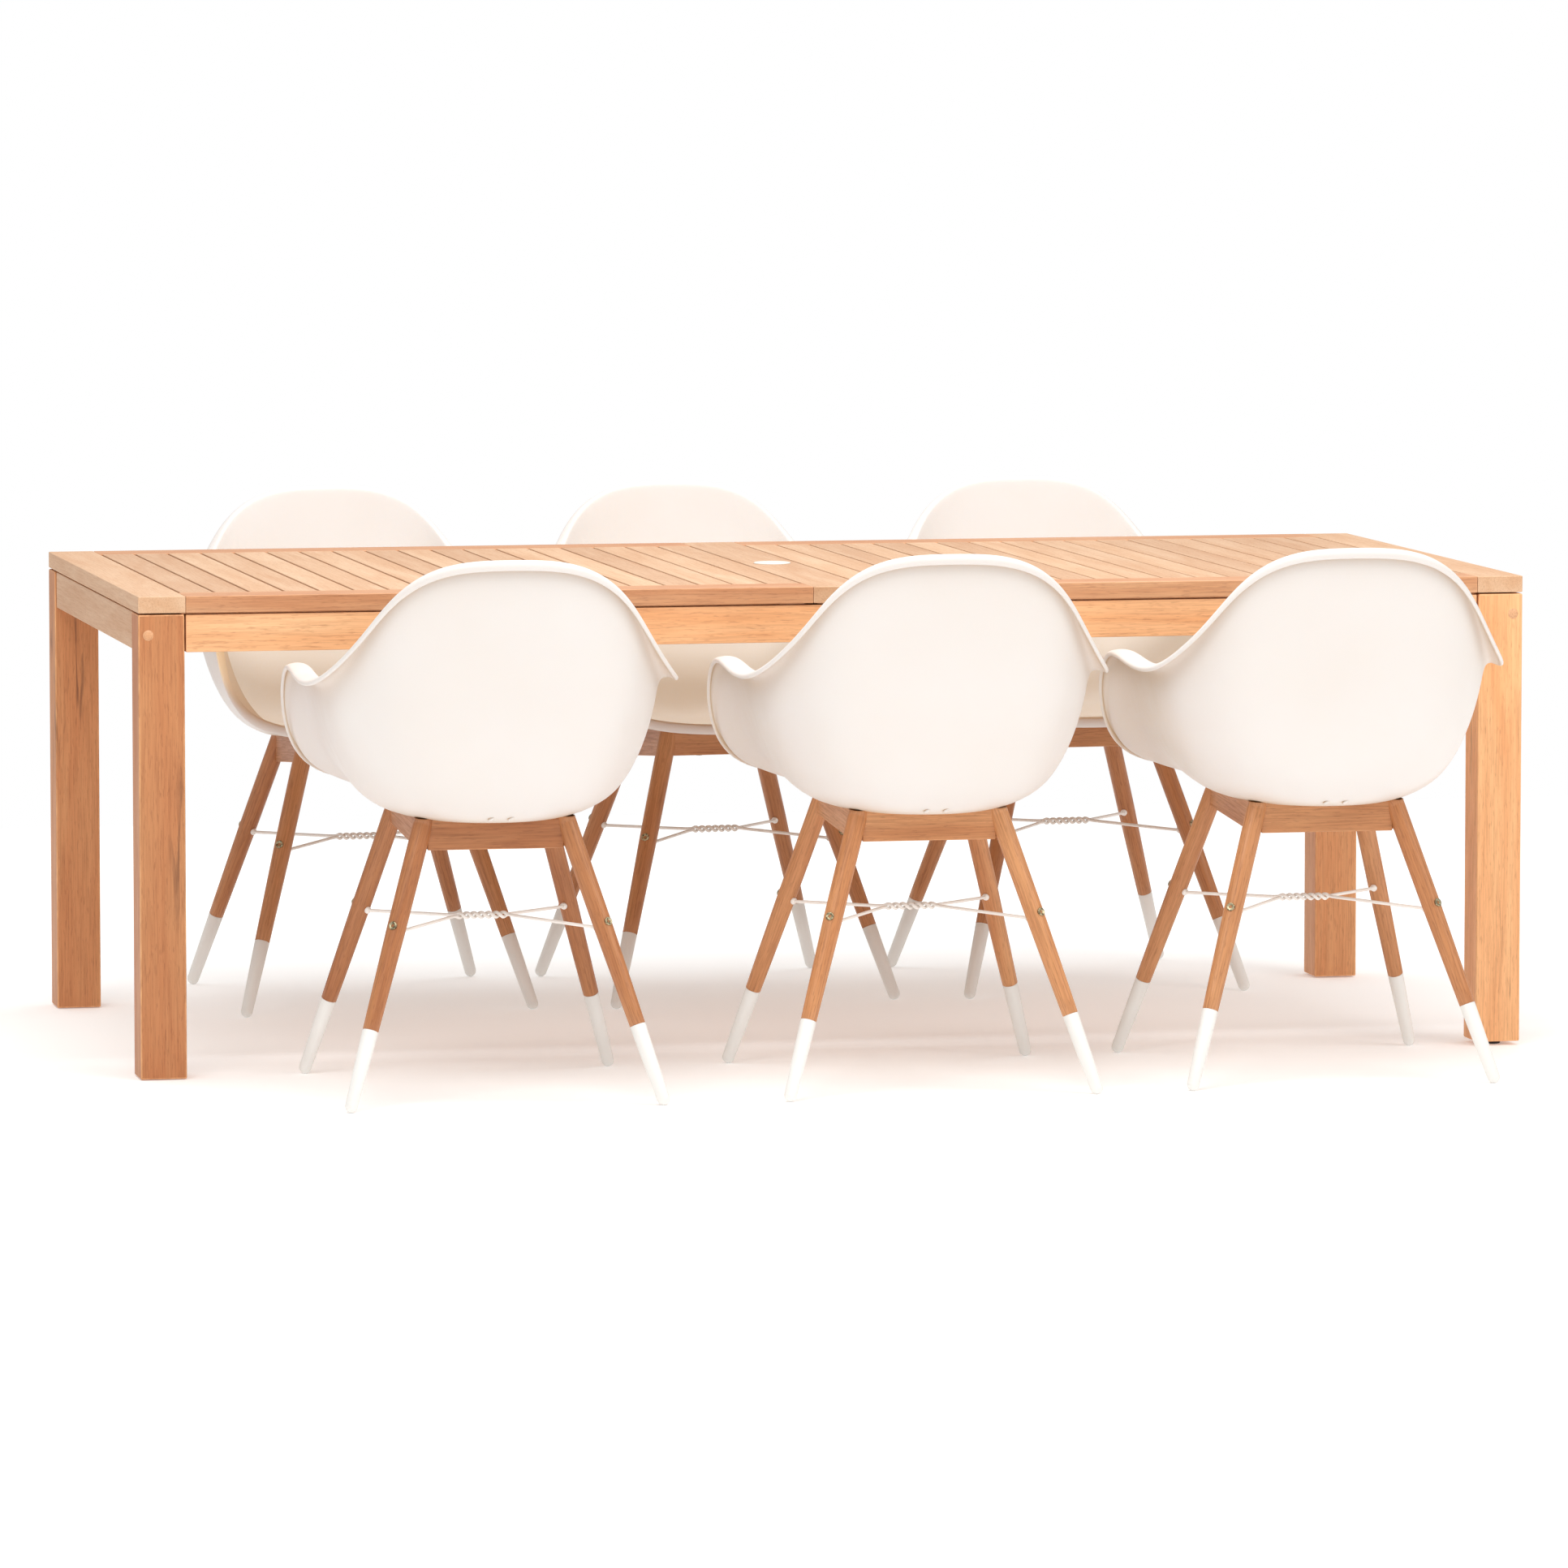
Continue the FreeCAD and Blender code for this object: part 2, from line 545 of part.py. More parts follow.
def shell_section(x, y, z, width, lip):
    """Control points of the shell's wall along one direction: inside, over the flange, back outside."""
    reach_x, reach_y = x, y - SEAT_CENTRE_Y
    reach = math.hypot(reach_x, reach_y)
    way_x, way_y = reach_x / reach, reach_y / reach
    backward = max(0.0, -way_y) ** 2
    lean = SIDE_LEAN + (BACK_LEAN - SIDE_LEAN) * backward
    power = 1.8 + 1.0 * backward
    oval = abs(way_x / FLAT_RADIUS_X) ** FLAT_POWER + abs(way_y / FLAT_RADIUS_Y) ** FLAT_POWER
    flat = oval ** (-1 / FLAT_POWER)
    root = reach - width
    low_root = root - lean
    flat = min(flat, low_root - 25)
    top = z + 0.08 * width

    def floor(radius):
        return seat_plane(SEAT_CENTRE_Y + way_y * radius) + SHELL_THICKNESS

    inside = [(flat * DISC_SHARE, floor(flat * DISC_SHARE)), (flat, floor(flat))]
    for turn in (0.25, 0.45, 0.62, 0.78, 0.9, 1.0):
        across, rise = superellipse(turn, power)
        radius = flat + (low_root - flat) * across + lean * rise
        low = floor(radius)
        inside.append((radius, low + (top - lip * 0.6 - low) * rise))
    outside = offset_section(inside, SHELL_THICKNESS)
    outside[0:2] = [(radius, height - SHELL_THICKNESS) for radius, height in inside[0:2]]
    outside[-1] = (outside[-1][0], min(outside[-1][1], top - SHELL_THICKNESS - 3))
    flange = [
        (root + 1.5, top - 1),
        (root + 0.4 * width, top + 1.5),
        (root + width - 2, z + 0.5),
        (root + width + 1, z - lip * 0.45),
        (root + width - 0.5, z - lip),
        (root + width - SHELL_THICKNESS + 1, z - lip),
        (root + width - SHELL_THICKNESS, z - SHELL_THICKNESS),
        (root + 0.5 * width + 2, top - SHELL_THICKNESS),
    ]
    section = inside + flange + outside[::-1]
    return [Vector(way_x * r, SEAT_CENTRE_Y + way_y * r, height) for r, height in section]


def shell_columns():
    """The sections all the way round: the right half of the edge, then its mirror image."""
    half = list(EDGE)
    mirrored = [(-x, y, z, width, lip) for x, y, z, width, lip in half[-2:0:-1]]
    return [shell_section(*station) for station in half + mirrored]


def chair_shell():
    """The moulded shell: one closed skin and the two flat discs of the seat."""
    poles = shell_columns()
    columns, rows = len(poles), len(poles[0])
    surface = Part.BSplineSurface()
    around = list(range(columns + 1))
    along = list(range(rows - 2))
    surface.buildFromPolesMultsKnots(poles, [1] * (columns + 1), [4] + [1] * (rows - 4) + [4],
                                     around, along, True, False, 3, 3)
    skin = surface.toShape()
    faces = [skin]
    for parameter in (along[0], along[-1]):
        faces.append(Part.Face(Part.Wire(surface.vIso(parameter).toShape())))
    shell = Part.makeShell(faces)
    shell.sewShape()
    solid = Part.makeSolid(shell)
    if solid.Volume < 0:
        solid.reverse()
    return solid


# ======================= chairs in place =======================

def chair_nodes():
    corners = [(side, front) for side in (-1, 1) for front in (-1, 1)]
    legs = [chair_leg(*corner) for corner in corners]
    screws = [seat_screw(*corner) for corner in corners]
    holes = seat_screw_holes(screws)
    return {
        "shell": [chair_shell().cut(Part.makeCompound(screws))],
        "seat_rails": [rail.cut(holes) for rail in seat_rails(legs)],
        "legs": legs,
        "leg_ends": [leg_end(*corner) for corner in corners],
        "brace_wires": [brace_wire(-1, 1), brace_wire(1, -1)],
        "bolts": [brace_bolt(*corner) for corner in corners] + screws,
    }


def stand(shapes, x, y, turn, facing_front):
    """Copies of a chair's shapes, turned and set down where that chair stands."""
    placed = []
    for shape in shapes:
        copy = shape.copy()
        copy.rotate(Vector(0, 0, 0), Vector(0, 0, 1), turn + (180 if facing_front else 0))
        copy.translate(Vector(x, y + TABLE_CENTRE_Y, 0))
        placed.append(copy)
    return placed


def main():
    os.makedirs("parts", exist_ok=True)
    for name, shapes in build_table().items():
        moved = []
        for shape in shapes:
            shape.translate(Vector(0, TABLE_CENTRE_Y, 0))
            moved.append(shape)
        export(name, moved)
    chair = chair_nodes()
    for place, x, y, turn, facing_front in CHAIRS:
        for part, shapes in chair.items():
            export("chair_%s_%s" % (place, part), stand(shapes, x, y, turn, facing_front))


main()
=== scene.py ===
import math
import random

import bpy
import numpy as np
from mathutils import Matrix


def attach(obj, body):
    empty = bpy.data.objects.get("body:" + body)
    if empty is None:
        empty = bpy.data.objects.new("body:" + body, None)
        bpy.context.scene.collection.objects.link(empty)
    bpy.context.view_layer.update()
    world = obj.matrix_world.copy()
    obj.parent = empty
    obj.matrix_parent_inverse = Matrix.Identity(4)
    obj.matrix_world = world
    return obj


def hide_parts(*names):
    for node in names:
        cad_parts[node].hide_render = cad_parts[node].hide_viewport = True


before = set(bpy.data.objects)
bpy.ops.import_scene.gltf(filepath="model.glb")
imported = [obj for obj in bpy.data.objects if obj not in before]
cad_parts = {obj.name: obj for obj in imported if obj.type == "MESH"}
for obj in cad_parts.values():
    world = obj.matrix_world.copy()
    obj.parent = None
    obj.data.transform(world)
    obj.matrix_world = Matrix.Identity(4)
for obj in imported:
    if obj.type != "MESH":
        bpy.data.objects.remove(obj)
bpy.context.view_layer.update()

TABLE_LENGTH = 2.215
TABLE_WIDTH = 1.045
TABLE_HEIGHT = 0.750
TABLE_Y = 0.1031
TOP = 0.026
END_BOARD = 0.074
CENTRE_BOARD = 0.088
LONG_RAIL = 0.078
SLATS_PER_HALF = 18
SLAT_GAP = 0.0046
LEG = 0.072
APRON_HEIGHT = 0.058
APRON_THICKNESS = 0.025
APRON_SETBACK = 0.003
APRON_DROP = 0.003
APRON_END_GAP = 0.0025
LEG_DROP = 0.0022
# painted light: the front-right table leg is kept pale for the light falling on it from the right, and the
# other legs are darkened
LEG_TONE_AND_PAINTED_LIGHT = {"front_left": 2.7, "front_right": 0.0, "rear_left": 2.4, "rear_right": 1.35}
RAIL_TONE = {"front_left": 0.45, "front_right": 0.2, "rear_left": 0.5, "rear_right": 0.3}
PLUG_HEIGHT = 0.690
EDGE_ROUNDING, LEG_ROUNDING, SLAT_ROUNDING = 0.0015, 0.0022, 0.0014
RAIL_GAP, SLAT_END_GAP, END_APRON_GAP = 0.0003, 0.0004, 0.0008
CENTRE_BATTEN, CENTRE_BATTEN_DEPTH = (0.031, 0.053), 0.048
LONG_BATTEN_SPACING, LONG_BATTEN_WIDTH, LONG_BATTEN_DEPTH = 0.287, 0.045, 0.020
RECESS_RADIUS, RECESS_DEPTH, STEM_RADIUS, STEM_DEPTH = 0.0145, 0.0065, 0.0045, 0.037
FOOT_OUT = {"front_left": 0.0015, "front_right": 0.0065, "rear_left": 0.0015, "rear_right": 0.0025}

# chair, in its own axes in millimetres: +Y forward, origin on the floor
FOOT_X, FOOT_Y = 241.6, 248.0
FRONT_LEAN, REAR_LEAN = (0.295, 0.315), (0.310, 0.280)
LEG_TIP_RADIUS, LEG_END_RADIUS, LEG_MIDDLE_RADIUS, LEG_TOP_RADIUS = 9.8, 12.2, 14.6, 15.2
LEG_END_HEIGHT, LEG_MIDDLE_HEIGHT = 120.0, 270.0
SEAT_Z, SEAT_SLOPE = 438.8, 0.0815
LEG_OVERRUN = 30.0
SUNK_IN_SHELL = 4.5
RAIL_HEIGHT, RAIL_THICKNESS, RAIL_INSET, RAIL_END_TRIM, RAIL_ROUNDING = 44.0, 21.0, 4.0, 4.0, 1.6
BRACE_HEIGHT, TWIST_HEIGHT = 270.0, 269.0
WIRE_RADIUS, TWIST_LENGTH, TWIST_TURNS, TWIST_RADIUS = 2.6, 80.0, 3.5, 3.6
FERRULE_RADIUS, FERRULE_LENGTH = 5.6, 4.5
TWIST_STEPS, STRAIGHT_STEPS, SMOOTHED_STEPS, SMOOTHING_PASSES = 120, 30, (22, 40), 6
SEAT_SCREW_X = 60.0
SHELL_THICKNESS, SEAT_CENTRE_Y = 6.0, 15.0
FLAT_X, FLAT_Y, FLAT_POWER, DISC_SHARE = 150.0, 192.0, 2.3, 0.9
BACK_LEAN, SIDE_LEAN = 72.0, 8.0
LUGS_X, LUG_Y, LUG_Z = (-14.0, 16.0), -197.0, 425.0
LUG_LENGTH, LUG_WIDTH, LUG_RISE, LUG_SLANT = 6.5, 3.0, 2.6, 35
EDGE = [
    (0, -308, 832, 19, 14), (74, -306, 831, 19, 14), (134, -297, 815, 19, 14), (180, -279, 780, 19, 14),
    (213, -252, 732, 22, 13), (244, -211, 686, 28, 11), (279, -156, 645, 36, 9), (292, -85, 640, 38, 8),
    (289, 10, 645, 36, 8), (284, 100, 652, 33, 8), (281, 176, 645, 27, 9), (281, 214, 596, 19, 11),
    (268, 233, 532, 16, 13), (229, 250, 484, 15, 15), (140, 259, 466, 14, 15), (0, 263, 463, 14, 15),
]
CHAIRS = {
    "front_left": (-610.0, -732.0, -1.0), "front_middle": (62.0, -739.0, -0.6),
    "front_right": (693.0, -735.0, -0.4), "rear_left": (-590.0, 522.0, 181.9),
    "rear_middle": (13.0, 521.0, 184.2), "rear_right": (621.0, 532.0, 182.7),
}
CHAIR_TONE = {
    "front_left": 1.7, "front_middle": 0.2, "front_right": 0.8, "rear_left": 1.4, "rear_middle": 1.2,
    "rear_right": 1.1,
}
CORNERS = [(side, front) for side in (-1, 1) for front in (-1, 1)]
SIDES = (("left", -1), ("right", 1))
ENDS = (("front", -1), ("rear", 1))

# stage: lamps as name, place, target, size, power and colour
LAMPS = [
    ("key", (-2.2, -3.8, 4.6), (0, 0, 0.5), (3.0, 2.4), 98, (1.0, 0.99, 0.97)),
    ("fill", (3.4, -3.8, 3.8), (0, 0, 0.5), (3.0, 2.4), 75, (1.0, 0.99, 0.97)),
    ("table_bounce", (0, 0.36, 0.62), (0, 1.4, 0.55), (1.9, 0.12), 0.5, (1.0, 0.80, 0.45)),
    ("overhead", (0, 0.6, 4.6), (0, 0.2, 0), (4.5, 3.5), 104, (0.96, 0.985, 1.0)),
    ("rear_backs", (0.1, -1.1, 2.5), (0.1, 0.8, 0.8), (2.2, 0.4), 24, (0.86, 0.95, 1.0)),
]
SKY_TINT, SKY_STRENGTH = (1.0, 0.995, 0.985, 1), 0.6
FLOOR_SIZE, FLOOR_BACK, FLOOR_GLOW = 9.0, 3.6, 0.24
CAMERA_PLACE, CAMERA_PITCH, CAMERA_YAW = (-3.12, -14.746 + TABLE_Y, 1.798), 90 - 5.33, -12.02
CAMERA_LENS, CAMERA_SENSOR = 214.43, 36


# ---------------------------------------------------------------- materials

def colour(red, green, blue):
    """A colour given as it looks on a screen, 0 to 255, as linear light."""
    channels = [value / 255 for value in (red, green, blue)]
    linear = [c / 12.92 if c <= 0.04045 else ((c + 0.055) / 1.055) ** 2.4 for c in channels]
    return (*linear, 1.0)


KNOT_COLOUR = colour(92, 52, 34)
# darker tint that boards take with their tone: the boards' own random tone, and painted light on the table
# legs
DARK_TONE_AND_SHADE_TINT = colour(182, 149, 124)
# painted warm shade for closed-in places of the shell
SHADED_TINT = colour(250, 236, 205)


class Paint:
    """A material's node tree, built by short calls. Each call gives back the new node's output."""

    def __init__(self, name):
        self.material = bpy.data.materials.new(name)
        self.material.use_nodes = True
        self.tree = self.material.node_tree
        self.shader = self.tree.nodes["Principled BSDF"]

    def put(self, value, socket):
        """Links an output to the socket, or sets the socket to a constant."""
        if isinstance(value, bpy.types.NodeSocket):
            self.tree.links.new(value, socket)
        else:
            socket.default_value = value

    def node(self, kind, settings=None, **inputs):
        made = self.tree.nodes.new(kind)
        for key, value in (settings or {}).items():
            setattr(made, key, value)
        for key, value in inputs.items():
            self.put(value, made.inputs[key.replace("_", " ")])
        return made

    def attribute(self, name, output="Vector"):
        return self.node("ShaderNodeAttribute", {"attribute_name": name}).outputs[output]

    def stretch(self, vector, scale, offset=(0, 0, 0)):
        return self.node("ShaderNodeMapping", Vector=vector, Scale=scale, Location=offset).outputs["Vector"]

    def noise(self, vector, scale, detail=2.0, distortion=0.0):
        return self.node("ShaderNodeTexNoise", Vector=vector, Scale=scale, Detail=detail,
                         Distortion=distortion).outputs["Fac"]

    def maths(self, operation, first, second=0.0):
        made = self.tree.nodes.new("ShaderNodeMath")
        made.operation = operation
        self.put(first, made.inputs[0])
        self.put(second, made.inputs[1])
        return made.outputs[0]

    def spread(self, value, low, high, to_low=0.0, to_high=1.0):
        """The value between low and high brought to another range, and held there outside it."""
        made = self.tree.nodes.new("ShaderNodeMapRange")
        for socket, given in zip(made.inputs, (value, low, high, to_low, to_high)):
            self.put(given, socket)
        return made.outputs[0]

    def mix(self, share, first, second, blend="MIX"):
        made = self.tree.nodes.new("ShaderNodeMix")
        made.data_type = "RGBA"
        made.blend_type = blend
        self.put(share, made.inputs[0])
        self.put(first, made.inputs[6])
        self.put(second, made.inputs[7])
        return made.outputs[2]

    def bump(self, height, strength, distance):
        return self.node("ShaderNodeBump", Height=height, Strength=strength,
                         Distance=distance).outputs["Normal"]

    def finish(self, **inputs):
        for key, value in inputs.items():
            self.put(value, self.shader.inputs[key.replace("_", " ")])
        return self.material


def wood(name, pale, middle, dark, streaks=0.35, rings=0.5, spots=0.0, roughness=0.5):
    """Oiled hardwood: rings and streaks along the grain, fine pores, boards of different tones and
    worn arrises. spots is the strength of dark marks."""
    paint = Paint(name)
    grain = paint.attribute("grain")
    tone = paint.attribute("tone", "Fac")
    arris = paint.attribute("arris", "Fac")
    wander = paint.noise(paint.stretch(grain, (0.9, 5, 5)), 1.0, 3.0)
    wander = paint.maths("MULTIPLY", wander, 9.0)
    across = paint.node("ShaderNodeSeparateXYZ", Vector=grain).outputs
    radius = paint.maths("ADD", paint.maths("MULTIPLY", across["Y"], 115.0),
                         paint.maths("MULTIPLY", across["Z"], 150.0))
    ring = paint.maths("SINE", paint.maths("ADD", radius, paint.maths("MULTIPLY", wander, 2.2)))
    ring = paint.spread(ring, -1.0, 1.0)
    ring = paint.maths("POWER", ring, 1.8)
    fine = paint.noise(paint.stretch(grain, (14, 420, 420)), 1.0, 4.0)
    pores = paint.spread(paint.noise(paint.stretch(grain, (60, 520, 520)), 1.0, 1.0), 0.58, 0.70)
    broad = paint.noise(paint.stretch(grain, (2.4, 22, 22)), 1.0, 3.0, 0.8)
    base = paint.mix(paint.spread(broad, 0.33, 0.68), pale, middle)
    base = paint.mix(paint.maths("MULTIPLY", ring, rings), base, middle)
    base = paint.mix(paint.spread(fine, 0.42, 0.75, 0.0, streaks), base, dark)
    base = paint.mix(paint.maths("MULTIPLY", pores, 0.28), base, dark)
    if spots:
        line = paint.noise(paint.stretch(grain, (5, 60, 60)), 1.0, 3.0, 1.2)
        patch = paint.noise(paint.stretch(grain, (2.2, 11, 11), (3.1, 0.7, 1.9)), 1.0, 1.0)
        mark = paint.maths("MULTIPLY", paint.spread(line, 0.54, 0.66), paint.spread(patch, 0.56, 0.70))
        base = paint.mix(paint.maths("MULTIPLY", mark, spots), base, KNOT_COLOUR)
    # boards darken towards this tint with their tone: random tones are the boards' own colour, the table
    # legs' tones are painted light
    base = paint.mix(paint.spread(tone, 0.0, 3.0, 0.0, 0.84), base,
                     paint.mix(1.0, base, DARK_TONE_AND_SHADE_TINT, "MULTIPLY"))
    worn = paint.spread(paint.noise(paint.stretch(grain, (30, 90, 90)), 1.0, 2.0), 0.3, 0.7, 0.1, 0.55)
    base = paint.mix(paint.maths("MULTIPLY", arris, worn), base, pale)
    rough = paint.spread(fine, 0.3, 0.7, roughness - 0.07, roughness + 0.1)
    relief = paint.maths("ADD", paint.maths("MULTIPLY", fine, 0.6), paint.maths("MULTIPLY", ring, 0.25))
    return paint.finish(Base_Color=base, Roughness=rough, Normal=paint.bump(relief, 0.25, 0.0006))


def moulded(name, tint, shade, roughness, grain_size=900.0, bump=0.08, painted_crease_shade=None):
    """Moulded plastic: faint cloudiness, a fine matt texture and slightly uneven gloss. The crease
    colour is painted shade put into sharp folds, and giving it also paints a warm shade into closed-in
    places."""
    paint = Paint(name)
    place = paint.node("ShaderNodeTexCoord").outputs["Object"]
    cloud = paint.noise(place, 3.5, 3.0)
    texture = paint.noise(place, grain_size, 2.0)
    base = paint.mix(paint.spread(cloud, 0.35, 0.7), tint, shade)
    if painted_crease_shade:
        # painted shade: near ambient occlusion darkens sharp folds towards the crease colour
        near = paint.node("ShaderNodeAmbientOcclusion", {"samples": 6}, Distance=0.07).outputs["AO"]
        base = paint.mix(paint.spread(near, 0.45, 0.95), painted_crease_shade, base)
        # painted shade: far ambient occlusion gives closed-in places, such as seats under the table, a warm
        # painted shade
        far = paint.node("ShaderNodeAmbientOcclusion", {"samples": 6}, Distance=0.6).outputs["AO"]
        warm_painted_shade = paint.mix(1.0, base, SHADED_TINT, "MULTIPLY")
        base = paint.mix(paint.spread(far, 0.2, 0.44), warm_painted_shade, base)
    scuff = paint.noise(paint.stretch(place, (40, 40, 9)), 1.0, 3.0)
    rough = paint.spread(scuff, 0.3, 0.7, roughness - 0.05, roughness + 0.07)
    return paint.finish(Base_Color=base, Roughness=rough, Normal=paint.bump(texture, bump, 0.0004))


def metal(name, tint, dark, roughness):
    """Plated steel with fine scratches and darker tarnish."""
    paint = Paint(name)
    place = paint.node("ShaderNodeTexCoord").outputs["Object"]
    tarnish = paint.noise(place, 260.0, 3.0)
    scratch = paint.noise(paint.stretch(place, (300, 2500, 2500)), 1.0, 1.0)
    base = paint.mix(paint.spread(tarnish, 0.4, 0.68), tint, dark)
    rough = paint.spread(scratch, 0.3, 0.7, roughness - 0.08, roughness + 0.15)
    return paint.finish(Base_Color=base, Roughness=rough, Metallic=1.0,
                        Normal=paint.bump(scratch, 0.15, 0.0002))


def make_materials():
    # the shell's crease colour is painted shade for its folds and closed-in places
    shell = moulded("shell_plastic", colour(229, 223, 219), colour(227, 219, 213), 0.42, 700.0,
                    painted_crease_shade=colour(205, 182, 160))
    shader = shell.node_tree.nodes["Principled BSDF"]
    shader.inputs["Subsurface Weight"].default_value = 0.06
    shader.inputs["Subsurface Radius"].default_value = (0.02, 0.012, 0.008)
    return {
        "top_wood": wood("top_wood", colour(224, 185, 149), colour(211, 164, 124), colour(158, 106, 72),
                         0.25, 0.35),
        "rail_wood": wood("rail_wood", colour(220, 167, 124), colour(203, 140, 96), colour(138, 82, 52),
                          0.4),
        "apron_wood": wood("apron_wood", colour(250, 198, 148), colour(238, 172, 118), colour(160, 96, 56),
                           0.35, spots=0.5),
        "table_leg_wood": wood("table_leg_wood", colour(252, 194, 138), colour(238, 168, 112),
                               colour(156, 96, 58), 0.35, 0.4, spots=0.75),
        "batten_wood": wood("batten_wood", colour(212, 168, 132), colour(196, 148, 110), colour(140, 92, 62)),
        "plug_wood": wood("plug_wood", colour(230, 180, 136), colour(220, 162, 116), colour(160, 104, 70)),
        "chair_wood": wood("chair_wood", colour(218, 157, 106), colour(197, 130, 80), colour(122, 68, 38),
                           0.42, 0.2, roughness=0.42),
        "shell_plastic": shell,
        "leg_end_white": moulded("leg_end_white", colour(240, 238, 234), colour(234, 231, 226), 0.5, 500.0),
        "wire_coating": moulded("wire_coating", colour(246, 240, 234), colour(238, 231, 224), 0.4, 1500.0),
        "bolt_steel": metal("bolt_steel", colour(196, 184, 150), colour(96, 84, 62), 0.32),
        "foot_black": moulded("foot_black", colour(34, 32, 32), colour(48, 46, 44), 0.6),
        "cap_plastic": moulded("cap_plastic", colour(222, 216, 206), colour(206, 198, 188), 0.45),
    }


# ---------------------------------------------------------------- meshes

class Solid:
    """Gathers shapes into one mesh, each point with its place along the grain and its board's tone."""

    def __init__(self):
        self.points, self.faces, self.normals = [], [], []
        self.grain, self.tone, self.arris = [], [], []

    def add(self, points, faces, normals=None, grain=None, tone=0.0, arris=None):
        base = len(self.points)
        self.points.extend(points)
        self.faces.extend([[base + i for i in face] for face in faces])
        self.normals.extend(normals if normals is not None else [(0, 0, 0)] * len(points))
        self.grain.extend(grain if grain is not None else points)
        self.tone.extend([tone] * len(points))
        self.arris.extend(arris if arris is not None else [0.0] * len(faces))

    def piece(self, name, body, nodes, slot, materials, scale=1.0):
        """Makes the object, in metres, in place of the named CAD nodes and riding on the body."""
        mesh = bpy.data.meshes.new(name)
        points = np.array(self.points, dtype=float) * scale
        mesh.from_pydata(points.tolist(), [], self.faces)
        mesh.update()
        mesh.shade_smooth()
        normals = np.array(self.normals, dtype=float)
        if np.abs(normals).sum() > 0:
            mesh.normals_split_custom_set_from_vertices(normals.tolist())
        grain = mesh.attributes.new("grain", "FLOAT_VECTOR", "POINT")
        grain.data.foreach_set("vector", (np.array(self.grain, dtype=float) * scale).ravel())
        mesh.attributes.new("tone", "FLOAT", "POINT").data.foreach_set("value", self.tone)
        mesh.attributes.new("arris", "FLOAT", "FACE").data.foreach_set("value", self.arris)
        mesh.materials.append(materials[slot])
        piece = bpy.data.objects.new(name, mesh)
        bpy.context.scene.collection.objects.link(piece)
        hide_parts(*nodes)
        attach(piece, body)
        return piece


def rounded_box(size, rounding):
    """A box about its middle with rounded arrises: points, quads, normals and which quads are arris."""
    half = np.array(size) / 2
    inner = half - rounding
    points, index, quads, arris = [], {}, [], []
    for axis in range(3):
        u, v = (axis + 1) % 3, (axis + 2) % 3
        lines = [(-half[k], -inner[k], inner[k], half[k]) for k in (u, v)]
        for side in (-1, 1):
            for i in range(3):
                for j in range(3):
                    loop = [(i, j), (i + 1, j), (i + 1, j + 1), (i, j + 1)][::side]
                    quad = []
                    for a, b in loop:
                        corner = [0.0, 0.0, 0.0]
                        corner[axis], corner[u], corner[v] = side * half[axis], lines[0][a], lines[1][b]
                        key = tuple(round(value, 7) for value in corner)
                        if key not in index:
                            index[key] = len(points)
                            points.append(corner)
                        quad.append(index[key])
                    quads.append(quad)
                    arris.append(0.0 if i == j == 1 else 1.0)
    points = np.array(points)
    core = np.clip(points, -inner, inner)
    normals = points - core
    normals /= np.linalg.norm(normals, axis=1)[:, None]
    return core + normals * rounding, quads, normals, arris


GRAIN_AXES = {"X": (0, 1, 2), "Y": (1, 0, 2), "Z": (2, 0, 1)}


def foot_recess(points, quads, normals, arris):
    """Opens the underside of a leg, about its middle, for the levelling foot's pad and stem."""
    low = points[:, 2].min()
    under = next(i for i, quad in enumerate(quads) if arris[i] == 0 and np.allclose(points[quad, 2], low))
    corners = sorted(quads.pop(under), key=lambda i: math.atan2(points[i][1], points[i][0]))
    arris.pop(under)
    count, base = 24, len(points)
    rings = [(RECESS_RADIUS, low), (RECESS_RADIUS, low + RECESS_DEPTH), (STEM_RADIUS, low + RECESS_DEPTH),
             (STEM_RADIUS, low + STEM_DEPTH)]
    made, facing = [], []
    for radius, height in rings:
        for k in range(count):
            turn = -math.pi + 2 * math.pi * k / count
            made.append((radius * math.cos(turn), radius * math.sin(turn), height))
            facing.append((0, 0, -1))
    for k in range(count):
        after = (k + 1) % count
        quads.append([corners[k * 4 // count], base + k, base + after])
        for ring in range(3):
            a, b = base + ring * count, base + (ring + 1) * count
            quads.append([a + after, a + k, b + k, b + after])
    for quarter in range(4):
        after = (quarter + 1) % 4
        quads.append([corners[quarter], base + after * count // 4, corners[after]])
    quads.append([base + 3 * count + k for k in range(count)][::-1])
    arris = arris + [0.0] * (len(quads) - len(arris))
    return np.vstack([points, made]), quads, np.vstack([normals, facing]), arris


def board(solid, low, high, along, rounding, dice, tone=None, shape=None):
    """A board between two corners of space, its grain along the named axis. shape may change it
    while it is still about its own middle."""
    tone = dice.random() if tone is None else tone
    low, high = np.array(low), np.array(high)
    points, quads, normals, arris = rounded_box(high - low, rounding)
    if shape:
        points, quads, normals, arris = shape(points, quads, normals, arris)
    order = list(GRAIN_AXES[along])
    offset = np.array([dice.uniform(0, 9), dice.uniform(0, 9), dice.uniform(0, 9)])
    grain = points[:, order] + offset
    points = points + (low + high) / 2
    solid.add(points.tolist(), quads, normals.tolist(), grain.tolist(), tone, arris)


